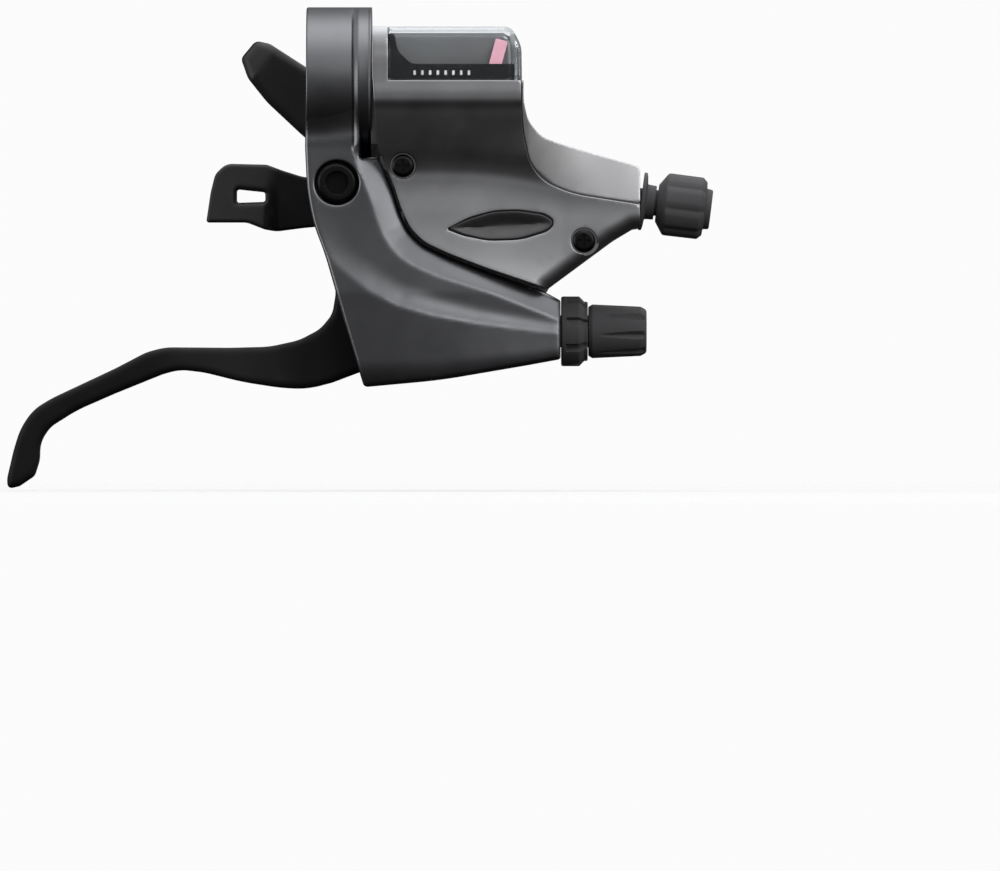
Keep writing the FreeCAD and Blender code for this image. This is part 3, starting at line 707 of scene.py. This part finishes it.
def make_brake_lever():
    hook = circle((PIVOT[0] + 1.0, BRAKE_CABLE_Z), 3.4)
    hole = circle(PIVOT, 3.0)
    blade = slab("brake_blade", rounded(BLADE, 0.45), blade_front, lambda x, z: blade_half(x),
                 1.3, 2.1, [hole, hook], 0.2, grid=0.6)
    cable_slot = np.array([(5.7, -50.7), (14.0, -50.7), (14.0, -48.5), (5.7, -48.5)])
    cut(blade, prism(cable_slot, -1.1, 20.0))
    place(blade, "brake_lever", "lever_paint", "brake_lever")


# ---- cable adjusters ----

def make_brake_adjuster():
    def flutes(along, angle, radius):
        # eight tapered flutes, one of them 9 degrees above the side that faces the camera
        turn = (angle - math.pi - math.radians(9.0)) % (math.pi / 4)
        turn = np.minimum(turn, math.pi / 4 - turn)
        grip = step(16.0, 19.0, along) * (1 - step(25.2, 26.0, along))
        half = 0.05 + 0.11 * step(16.0, 25.0, along)
        groove = np.clip(1.0 - turn / half, 0, 1) ** 0.7
        depth = 0.3 + 0.45 * step(16.0, 25.0, along)
        return np.where(radius > 4.0, depth * grip * groove, 0.0)

    start = BRAKE_CABLE + Vector((-9.0, 0, 0))
    barrel = turned("brake_barrel", [(0.0, 1.3, 0), (0.0, 3.2, 0.4), (14.5, 3.2, 0),
                                     (14.5, 4.9, 0.3), (15.3, 5.4, 0.5), (25.0, 4.95, 0.5),
                                     (26.2, 4.3, 0.8), (26.2, 3.05, 0.25), (18.2, 3.05, 0),
                                     (18.2, 1.3, 0)],
                    start, (1, 0, 0), flutes, steps=192, spacing=0.35)
    place(barrel, "brake_adjuster", "adjuster_resin", "brake_adjuster")


def make_lock_ring():
    def notches(along, angle, radius):
        # the notches are counted from the side that faces the camera
        turn = (angle - math.pi + math.radians(16.0)) % (math.pi / 4)
        turn = np.minimum(turn, math.pi / 4 - turn)
        wall = 1 - step(0.10, 0.125, turn)
        open_end = step(1.0, 1.2, along)
        return np.where(radius > 5.0, 0.9 * wall * open_end, 0.0)

    ring = turned("lock_ring", [(0.05, 3.3, 0.2), (0.05, 7.0, 0.4), (3.7, 7.0, 0.5),
                                (4.7, 5.95, 0.2), (5.4, 5.95, 0.3), (5.4, 3.3, 0.2)],
                  BRAKE_CABLE, (1, 0, 0), notches, steps=320, spacing=0.25)
    place(ring, "brake_lock_ring", "adjuster_resin", "brake_lock_ring")


def make_shift_adjuster():
    def ribs(along, angle, radius):
        # eight broad ribs, level over their middle 20 degrees, with shallow valleys between
        turn = (angle - math.radians(8.0)) % (math.pi / 4) - math.pi / 8
        rise = 1.0 - math.cos(math.pi / 8) / np.cos(turn)
        share = 0.070 - np.minimum(rise, 0.062)
        return np.where(radius > 4.2, radius * share, 0.0) * step(4.6, 5.6, along)

    knob = turned("shift_knob", [(-6.4, 1.1, 0), (-6.4, 2.6, 0.3), (3.3, 2.6, 0),
                                 (3.3, 3.7, 0.4), (5.1, 6.35, 0.8), (12.0, 6.3, 0.6),
                                 (12.9, 5.4, 0.4), (13.0, 4.1, 0.15), (14.2, 3.95, 0.4),
                                 (14.2, 2.55, 0.2), (7.4, 2.55, 0), (7.4, 1.1, 0)],
                  SHIFT_CABLE, SHIFT_AXIS, ribs, steps=192, spacing=0.35)
    place(knob, "shift_adjuster", "adjuster_resin", "shift_adjuster")
    seat = turned("shift_seat", [(0.1, 2.7, 0.1), (0.1, 5.8, 0.15), (0.75, 5.8, 0.2),
                                 (0.95, 5.0, 0.2), (1.1, 3.5, 0.3), (2.9, 3.4, 0.2),
                                 (2.9, 2.7, 0.1)],
                  SHIFT_CABLE, SHIFT_AXIS, spacing=0.3)
    place(seat, "bracket", "adjuster_resin", "adjuster_seat")


# ---- shifter housing ----

# how far the front of the housing stands out at each Z
pod_depth = curve([(12.4, 16.9), (9.8, 18.7), (6.0, 19.5), (2.0, 19.72), (0.4, 19.78),
                   (-2.6, 19.92), (-3.8, 19.8), (-4.7, 19.38), (-7.0, 18.62), (-10.0, 17.58),
                   (-13.0, 16.44), (-16.4, 15.08), (-17.6, 14.76), (-19.4, 14.66), (-26.0, 15.0),
                   (-34.0, 15.8), (-42.0, 17.1)])
# line between the dark cover and the light shell
SEAM = [(36.6, 0.4, 0), (36.6, -4.0, 20), (37.0, -10.0, 20), (38.3, -15.8, 8),
        (40.9, -19.4, 8), (46.7, -22.0, 30), (60.3, -24.1, 0)]
# edge of the cover along the bracket, from the lower right up to the bar
FOOT = [(41.9, -41.2, 0.8), (29.2, -36.9, 60), (21.9, -34.1, 40), (17.2, -31.9, 8),
        (14.4, -29.1, 8), (12.7, -25.4, 20), (11.4, -21.3, 30), (9.6, -16.9, 20),
        (8.1, -13.6, 4), (7.4, -8.0, 20), (6.75, 3.0, 30)]
# lower right corner of the cover
END = [(60.4, -29.0, 0.6), (58.9, -29.1, 1.0), (54.9, -31.4, 20)]
WINDOW_LEFT = 10.0
WINDOW_FOOT = 0.5
# outline of the hole for the leaf plug
LEAF = [(21.6, -29.3, 0.25), (26.0, -27.0, 14), (31.0, -25.6, 14), (36.0, -25.4, 14),
        (41.5, -26.2, 6), (43.5, -27.8, 1.2), (42.0, -29.7, 6), (36.5, -31.4, 14),
        (30.0, -31.6, 14), (25.0, -30.6, 10)]
COVER_SCREWS = [(12.9, -16.6), (49.1, -31.6)]


def pod_front(x, z):
    """Front of the housing. The fillet at its foot drops towards the right, and the lower right
    edge rolls over."""
    drop = 3.2 * np.clip((x - 22.0) / 23.0, 0.0, 1.0) ** 2 * step(-8.0, -15.0, z)
    edge = np.array([(60.4, -29.2), (58.9, -29.3), (54.9, -31.5), (41.9, -41.2)])
    near = distance(np.stack([x, z], axis=1), edge, closed=False)
    roll = 3.1
    inside_roll = np.clip(1.0 - near / roll, 0.0, 1.0)
    return -(pod_depth(z + drop) - roll * (1.0 - np.sqrt(1.0 - 0.97 * inside_roll ** 2)))


def shell_back(loop):
    """Back of the cover: open inside, with a wall round its edge except under the window."""
    wall = 0.8
    at_window = (loop[:, 0] > WINDOW_LEFT - 0.2) & (loop[:, 1] > WINDOW_FOOT - 0.2)
    last = np.flatnonzero(at_window)[-1]
    rim = np.roll(loop, -last - 1, axis=0)[:-np.count_nonzero(at_window)]

    def back(x, z):
        gap = distance(np.stack([x, z], axis=1), rim, closed=False)
        deep = step(wall * 0.92, wall * 1.15, gap)
        return CASE_FRONT + (pod_front(x, z) + wall - CASE_FRONT) * deep

    return back


def screw_cup(x, z):
    """Wall round a cover screw, from just behind the face down to the screw's seat."""
    seat = -14.5
    face = float(pod_front(np.array([x]), np.array([z]))[0]) + 0.5
    return turned("cup", [(0.0, 1.0, 0), (0.0, 2.5, 0), (face - seat, 2.5, 0),
                          (face - seat, 3.0, 0), (1.6, 3.0, 0), (1.6, 1.0, 0)],
                  (x, seat, z), steps=40)


def make_cover():
    left, foot = WINDOW_LEFT - 0.08, WINDOW_FOOT - 0.08
    corners = [(6.75, 11.2, 0.3), (left, 11.2, 0.2), (left, foot, 0.3), (36.55, foot, 0)]
    # a thin gap is left beside the light shell
    corners += [(x - 0.12, z - 0.22, r) for x, z, r in SEAM[1:]] + END + FOOT
    loop = rounded(corners)
    holes = [circle(c, 2.55) for c in COVER_SCREWS] + [rounded(LEAF, 0.35)]
    cover = slab("cover", loop, pod_front, shell_back(loop), 0.14, 0.1, holes, 0.2, grid=0.6)
    cups = [screw_cup(x, z) for x, z in COVER_SCREWS]
    place(joined("front_shell", cover, *cups), "bracket", "cover_paint", "front_cover")


def leaf_outline(inset):
    """The leaf shape made smaller by inset all round."""
    return rounded([(x + (inset if x < 30 else -inset), z + 0.8 * (inset if z < -28 else -inset), r)
                    for x, z, r in LEAF], 0.35)


def make_leaf_plug():
    plug_loop = leaf_outline(0.3)

    def dish(x, z):
        gap = distance(np.stack([x, z], axis=1), plug_loop)
        return -15.1 + 1.3 * step(0.0, 2.8, gap)

    plug = slab("plug", plug_loop, dish, -12.9, 0.2, 0.1, grid=0.35)
    # closes the gap round the plug from behind the cover
    rim = slab("plug_rim", leaf_outline(-0.3), -14.15, -13.95, 0.05, 0.05, [leaf_outline(0.6)],
               0.05)
    place(joined("leaf", plug, rim), "bracket", "dark_rubber", "leaf_plug")


def make_window():
    loop = rounded([(WINDOW_LEFT, 11.2, 0.2), (34.6, 11.2, 2.4), (36.6, 7.2, 6.0),
                    (36.65, WINDOW_FOOT, 0.2), (WINDOW_LEFT, WINDOW_FOOT, 0.2)], 0.4)
    # the lens is thick along its top and right edges
    foot = CASE_FRONT - 0.1
    rail = np.array([(9.0, 11.2), (33.6, 11.2), (35.5, 10.1), (36.6, 7.2), (36.65, -1.0)])

    def back(x, z):
        gap = distance(np.stack([x, z], axis=1), rail, closed=False)
        deep = step(0.9, 2.3, gap)
        return foot + (pod_front(x, z) + 1.3 - foot) * deep

    window = slab("window", loop, pod_front, back, 0.7, 0.05, grid=0.35)
    place(window, "bracket", "clear_lens", "display_window")
    window.visible_shadow = False


def make_display():
    loop = rounded([(8.8, 9.7, 0.2), (8.8, 0.2, 0.2), (35.2, 0.2, 0.2), (35.2, 3.7, 0.2),
                    (14.6, 3.7, 2.6), (11.9, 6.2, 3.0), (11.2, 9.7, 0.2)], 0.4)
    mask = slab("mask", loop, -18.1, -17.8, 0.05, 0.05)
    place(mask, "bracket", "mask_black", "display_mask")

    # one plain tick for each gear
    marks = []
    for k in range(GEARS):
        x = 15.0 + 1.55 * k
        marks.append(slab("mark", rectangle(x, 1.5, x + 0.5, 2.4, 0.1), -18.16, -18.0, 0.02, 0.02))
    place(joined("dial_ticks", *marks), "bracket", "dial_marks")

    plate = rectangle(8.6, 3.2, 33.9, 9.2, 0.2)
    dial = slab("dial", plate, lambda x, z: -16.3 - 0.12 * np.cos((z - 6.2) * np.pi / 6.0),
                -15.9, 0.1, 0.1)
    legs = [slab("leg", rectangle(x - 0.4, 4.6, x + 0.4, 8.4, 0.1), -16.0, -12.9, 0.05, 0.05)
            for x in (9.0, 33.5)]
    place(joined("dial_plate", dial, *legs), "bracket", "dial_grey", "display_dial")


def make_needle():
    # at rest it points up and a little right, and it steps forward to reach the dial
    turn = math.radians(75.0)
    reach = np.array([math.cos(turn), math.sin(turn)])
    side = np.array([math.sin(turn), -math.cos(turn)])
    centre = np.array(AXLE)

    def strip(name, start, end, half, front, back, radius):
        corners = []
        for along, across in ((start, -half), (end, -half), (end, half), (start, half)):
            x, z = centre + reach * along + side * across
            corners.append((x, z, radius))
        return slab(name, rounded(corners), front, back, 0.12, 0.05)

    needle = joined("needle", strip("pointer", 26.9, 34.6, 1.25, -17.4, -16.9, 0.3),
                    strip("rise", 26.9, 27.7, 1.1, -17.4, -13.3, 0.1),
                    strip("arm", 2.9, 27.7, 1.1, -13.8, -13.3, 0.3),
                    slab("hub", circle(AXLE, 3.2), -13.8, -13.3, 0.1, 0.05,
                         [circle(AXLE, 1.55, 24)], 0.05))
    place(needle, "gear_needle", "needle_red", "gear_needle")


def make_cover_screws():
    screws = []
    for x, z in COVER_SCREWS:
        head = turned("head", [(0.0, 0.0, 0), (0.0, 1.7, 0.6), (0.5, 2.3, 0.3), (1.2, 2.3, 0.1),
                               (1.2, 0.9, 0), (4.4, 0.9, 0), (4.9, 0.5, 0), (4.9, 0.0, 0)],
                      (x, -15.9, z), steps=48, spacing=0.25)
        for half_x, half_z in ((1.3, 0.3), (0.3, 1.3)):
            bar = np.array([(x - half_x, z - half_z), (x + half_x, z - half_z),
                            (x + half_x, z + half_z), (x - half_x, z + half_z)])
            cut(head, prism(bar, -17.0, -15.2))
        screws.append(head)
    place(joined("cover_screw_heads", *screws), "bracket", "black_steel", "cover_screws")


def neck_shell():
    """Light shell right of the seam."""
    corners = [(x + 0.04, z + 0.04, r) for x, z, r in SEAM]
    corners += [(60.3, -16.7, 1.2), (51.5, -14.2, 60), (44.7, -12.2, 12), (40.4, -10.7, 6),
                (37.9, -7.6, 6), (37.0, -3.6, 12), (37.0, 0.4, 0)]
    lean = curve([(38.0, -0.13), (47.0, 0.06), (60.0, 0.14)])

    def front(x, z):
        depth = 14.5 - lean(x) * (z + 24.0) + 0.5 * np.exp(-(x - 36.6) / 1.6)
        return -np.minimum(depth, -pod_front(x, z) - 0.2)

    return slab("neck", rounded(corners, 0.4), front, CASE_FRONT + 0.4, 0.15, 0.05, grid=0.4)


def mechanism_box():
    corners = [(8.3, -12.4, 0.5), (36.9, -12.4, 0.5), (38.5, -10.2, 2), (40.4, -10.8, 6),
               (44.7, -12.3, 12), (51.5, -14.3, 60), (60.3, -16.8, 1.2), (60.3, -29.0, 0.8),
               (58.9, -29.1, 1.0), (54.9, -31.5, 20), (41.9, -41.1, 1.0)]
    corners += [(x + 0.5, z + 0.4, r) for x, z, r in FOOT[1:8]]
    return slab("box", rounded(corners), CASE_FRONT + SKIN, CASE_BACK, 0.15, 1.2)


def bar_saddle():
    """Under the display, hollowed to clear the handlebar."""
    loop = rounded([(8.4, -12.3, 0), (8.4, 0.6, 0), (6.8, 0.6, 0), (6.8, 11.1, 0.8),
                    (33.6, 11.1, 3.5), (36.6, 7.0, 6.0), (36.7, 0.4, 1), (37.2, -6.0, 2),
                    (37.6, -12.3, 0)])
    saddle = slab("saddle", loop, CASE_FRONT + SKIN, -3.8, 0.15, 0.1)
    return cut(saddle, prism(circle((0.0, 0.0), 11.75, 128), -1.0, 60.0, facing_side))


def gap_ledge():
    """Stands behind the gap between the cover and the bracket, so nothing shows through it."""
    loop = rounded([(x + 1.0, z, 0.2) for x, z, r in FOOT[5:8]]
                   + [(x - 0.7, z, 0.2) for x, z, r in FOOT[7:4:-1]])
    return slab("ledge", loop, 0.7, CASE_BACK - 0.4, 0.1, 0.1)


def make_case():
    shell = joined("rear_shell", neck_shell(), mechanism_box(), bar_saddle(), gap_ledge())
    place(shell, "bracket", "case_paint", "shifter_case")


# ---- levers and plates behind the bar ----

def make_base_plate():
    corners = [(10.6, -14.4, 1.5), (38.4, -14.4, 3), (58.4, -18.6, 2), (59.2, -28.6, 2),
               (54.2, -31.4, 3), (42.6, -40.2, 4), (37.4, -48.6, 3), (30.6, -48.6, 3),
               (22.0, -42.6, 5), (17.0, -43.8, 3), (12.2, -43.8, 2), (10.8, -40.0, 2),
               (13.2, -29.0, 8)]
    holes = [circle(AXLE, 3.9, 48)] + [circle(centre, 2.1) for centre in BASE_SCREWS]
    plate = slab("base", rounded(corners), 12.65, 14.25, 0.1, 0.25, holes, 0.1, grid=1.2)
    place(plate, "bracket", "plain_steel", "base_plate")
    screws = []
    for x, z in BASE_SCREWS:
        screw = turned("screw", [(0.0, 0.0, 0), (0.0, 2.6, 0.5), (0.5, 3.0, 0.3), (2.0, 3.0, 0.2),
                                 (2.0, 1.6, 0), (9.0, 1.6, 0.3), (9.0, 0.0, 0)],
                       (x, 16.28, z), (0, -1, 0), steps=48, spacing=0.3)
        screws.append(cut(screw, prism(hexagon((x, z), 1.5), 15.0, 18.0)))
    place(joined("base_screw_heads", *screws), "bracket", "plain_steel", "base_screws")


def make_thumb_lever():
    cap_loop = rounded([(10.4, -7.0, 1.0), (2.0, -1.6, 20), (-6.9, 3.9, 20), (-14.2, 8.6, 3.0),
                        (-17.0, 9.2, 1.6), (-20.0, 5.6, 1.4), (-18.6, 1.6, 5),
                        (-14.8, -3.2, 20), (-6.9, -10.6, 60), (4.0, -19.2, 20),
                        (6.4, -21.0, 1.0)])

    def dished(x, z):
        # along runs from the root of the cap to its tip
        along = -x * 0.80 + z * 0.60
        tip = 0.5 * np.maximum(along - 15.0, 0.0)
        return 22.0 + 0.5 * np.exp(-(along / 14.0 - 0.7) ** 2) + tip

    cap = slab("thumb_cap", cap_loop, dished, 27.2, 1.6, 2.0, grid=0.8)
    place(cap, "thumb_lever", "lever_resin", "thumb_lever_cap")
    arm_loop = rounded([(25.5, -18.9, 2), (-4.0, -1.6, 2), (-7.0, -5.2, 2), (19.8, -30.0, 4)])
    arm = slab("arm", arm_loop, 23.0, 25.2, 0.2, 0.2, [circle(AXLE, 2.55)], 0.1, grid=1.2)
    hub = turned("hub", [(0.0, 2.55, 0.2), (0.0, 6.4, 0.4), (3.6, 6.4, 0.4), (3.6, 2.55, 0.2)],
                 (AXLE[0], 23.0, AXLE[1]), steps=72)
    sleeve = turned("sleeve", [(0.0, 2.55, 0), (0.0, 3.6, 0.2), (18.5, 3.6, 0), (18.5, 2.55, 0)],
                    (AXLE[0], 4.85, AXLE[1]), steps=48)
    place(joined("thumb_arm", arm, hub, sleeve), "thumb_lever", "plain_steel",
          "thumb_lever_arm")


def make_trigger():
    loop = rounded([(-2.2, -18.7, 0.5), (-7.4, -18.4, 8), (-11.8, -17.0, 6), (-14.7, -15.9, 3),
                    (-22.9, -15.7, 3.2), (-25.1, -17.8, 3.0), (-26.0, -21.4, 14),
                    (-26.9, -27.6, 0.5), (-18.7, -27.6, 4), (-15.1, -29.0, 4),
                    (-12.8, -29.4, 6), (-7.4, -28.7, 20), (-2.2, -28.2, 0.5)], 0.4)
    slot = rounded([(-20.7, -20.9, 0.5), (-20.7, -23.6, 0.5), (-15.0, -23.4, 0.5),
                    (-15.0, -21.5, 0.5)], 0.3)

    def front(x, z):
        # the outer part leans back and the inner part leans forward, with a shelf between
        shelf = step(-15.4, -12.4, x)
        return 17.4 + 1.2 * shelf + 0.17 * (1.0 - 2.0 * shelf) * (z + 22.5)

    paddle = slab("paddle", loop, front, 20.4, 0.7, 0.9, [slot], 1.1, grid=0.5)
    place(paddle, "trigger_lever", "lever_resin", "trigger_paddle")
    arm_loop = rounded([(24.0, -19.2, 3), (-3.0, -20.2, 1), (-3.0, -27.8, 1), (24.0, -30.8, 3)])
    arm = slab("arm", arm_loop, 18.0, 19.8, 0.2, 0.2, [circle(AXLE, 3.66, 48)], 0.1, grid=1.2)
    hub = turned("hub", [(0.0, 3.66, 0.1), (0.0, 6.2, 0.4), (4.2, 6.2, 0.4), (4.2, 3.66, 0.1)],
                 (AXLE[0], 17.2, AXLE[1]), steps=72)
    place(joined("trigger_plate", arm, hub), "trigger_lever", "plain_steel", "trigger_arm")


def make_axle_end():
    loop = rounded([(*p, 0.4) for p in hexagon(AXLE, 4.7)], 0.3)
    nut = slab("nut", loop, 27.85, 30.0, 0.25, 0.35, [circle(AXLE, 2.53, 32)], 0.1)
    place(nut, "bracket", "plain_steel", "axle_nut")
    washer = turned("washer", [(0.0, 2.53, 0.1), (0.0, 5.2, 0.15), (0.8, 5.2, 0.15),
                               (0.8, 2.53, 0.1)],
                    (AXLE[0], 27.0, AXLE[1]), steps=64)
    place(washer, "bracket", "plain_steel", "axle_washer")


# ---- floor, light and camera ----

FLOOR = -81.6
# brightness of the sky at heights in degrees above the horizon
SKY = [(-90, 0.02), (-60, 0.02), (-41, 0.035), (-22, 0.08), (-8, 0.17), (0, 0.27), (13, 0.40),
       (32, 0.78), (51, 1.45), (71, 2.5), (90, 3.3)]


def make_sky():
    """Light comes from above, and little comes from below."""
    world = bpy.data.worlds.new("studio")
    world.use_nodes = True
    nodes = world.node_tree.nodes
    links = world.node_tree.links
    direction = nodes.new("ShaderNodeTexCoord").outputs["Generated"]
    split = nodes.new("ShaderNodeSeparateXYZ")
    links.new(direction, split.inputs[0])
    angle = nodes.new("ShaderNodeMath")
    angle.operation = "ARCSINE"
    links.new(split.outputs["Z"], angle.inputs[0])
    height = nodes.new("ShaderNodeMapRange")
    height.inputs["From Min"].default_value = -math.pi / 2
    height.inputs["From Max"].default_value = math.pi / 2
    links.new(angle.outputs[0], height.inputs["Value"])
    ramp = nodes.new("ShaderNodeValToRGB")
    while len(ramp.color_ramp.elements) < len(SKY):
        ramp.color_ramp.elements.new(0.5)
    for stop, (degrees, level) in zip(ramp.color_ramp.elements, SKY):
        stop.position = (degrees + 90.0) / 180.0
        stop.color = (level, level, level * 1.02, 1.0)
    links.new(height.outputs[0], ramp.inputs["Fac"])
    lit = nodes["Background"]
    links.new(ramp.outputs["Color"], lit.inputs["Color"])
    seen = nodes.new("ShaderNodeBackground")
    seen.inputs["Color"].default_value = (0.97, 0.97, 0.97, 1.0)
    choose = nodes.new("ShaderNodeMixShader")
    links.new(nodes.new("ShaderNodeLightPath").outputs["Is Camera Ray"], choose.inputs["Fac"])
    links.new(lit.outputs[0], choose.inputs[1])
    links.new(seen.outputs[0], choose.inputs[2])
    links.new(choose.outputs[0], nodes["World Output"].inputs["Surface"])
    bpy.context.scene.world = world


def make_floor():
    """Pale floor that fades into the background far from the object."""
    size = 1500.0
    floor = finish_mesh("floor", [(-size, -size, 0), (size, -size, 0), (size, size, 0),
                                  (-size, size, 0)], [(0, 1, 2, 3)])
    floor.location.z = FLOOR * MM
    finish = Finish("floor_paper", (0.60, 0.60, 0.60), 0.0, 0.9)
    finish.blend_colour(finish.remap(finish.noise(6.0), 0.3, 0.7, 0.0, 0.3), (0.58, 0.58, 0.58))
    finish.grain(800.0, 0.05)
    finish.set("Specular IOR Level", 0.0)
    far = finish.add("VectorMath")
    far.operation = "LENGTH"
    finish.links.new(finish.place, far.inputs[0])
    finish.drive("Alpha", finish.remap(far.outputs["Value"], 0.15, 0.9, 0.42, 0.0))
    floor.data.materials.append(finish.material)
    floor.visible_glossy = False
    floor.visible_diffuse = False


# name, place and size in millimetres, power in watts
LIGHTS = [("key", (330.0, -900.0, 420.0), 420.0, 1.2),
          ("rim", (260.0, 700.0, 520.0), 620.0, 0.6),
          ("right", (700.0, -620.0, 280.0), 520.0, 2.1),
          ("left", (-900.0, -240.0, 60.0), 620.0, 2.6)]
LIT_SPOT = (5.0, 0.0, -30.0)


def make_lights():
    for name, spot, size, power in LIGHTS:
        data = bpy.data.lights.new(name, "AREA")
        data.shape = "DISK"
        data.size = size * MM
        data.energy = power
        light = bpy.data.objects.new(name, data)
        light.location = Vector(spot) * MM
        aim = Vector(LIT_SPOT) * MM - light.location
        light.rotation_euler = aim.to_track_quat("-Z", "Y").to_euler()
        bpy.context.scene.collection.objects.link(light)
    bpy.context.scene.view_settings.view_transform = "Standard"


def make_camera():
    """Looks straight along Y from far off. The object sits up and left of the middle."""
    width = 200.0  # of the picture, at the object
    gap = 4000.0
    data = bpy.data.cameras.new("camera")
    data.sensor_width = 36.0
    data.lens = data.sensor_width * gap / width
    camera = bpy.data.objects.new("camera", data)
    camera.location = Vector((32.3, -gap - 12.0, -70.5)) * MM
    camera.rotation_euler = (math.pi / 2, 0.0, 0.0)
    bpy.context.scene.collection.objects.link(camera)
    bpy.context.scene.camera = camera


make_bracket()
make_clamp_bolt()
make_brake_lever()
make_brake_adjuster()
make_lock_ring()
make_shift_adjuster()
make_cover()
make_leaf_plug()
make_window()
make_display()
make_needle()
make_cover_screws()
make_case()
make_base_plate()
make_thumb_lever()
make_trigger()
make_axle_end()
make_sky()
make_floor()
make_lights()
make_camera()
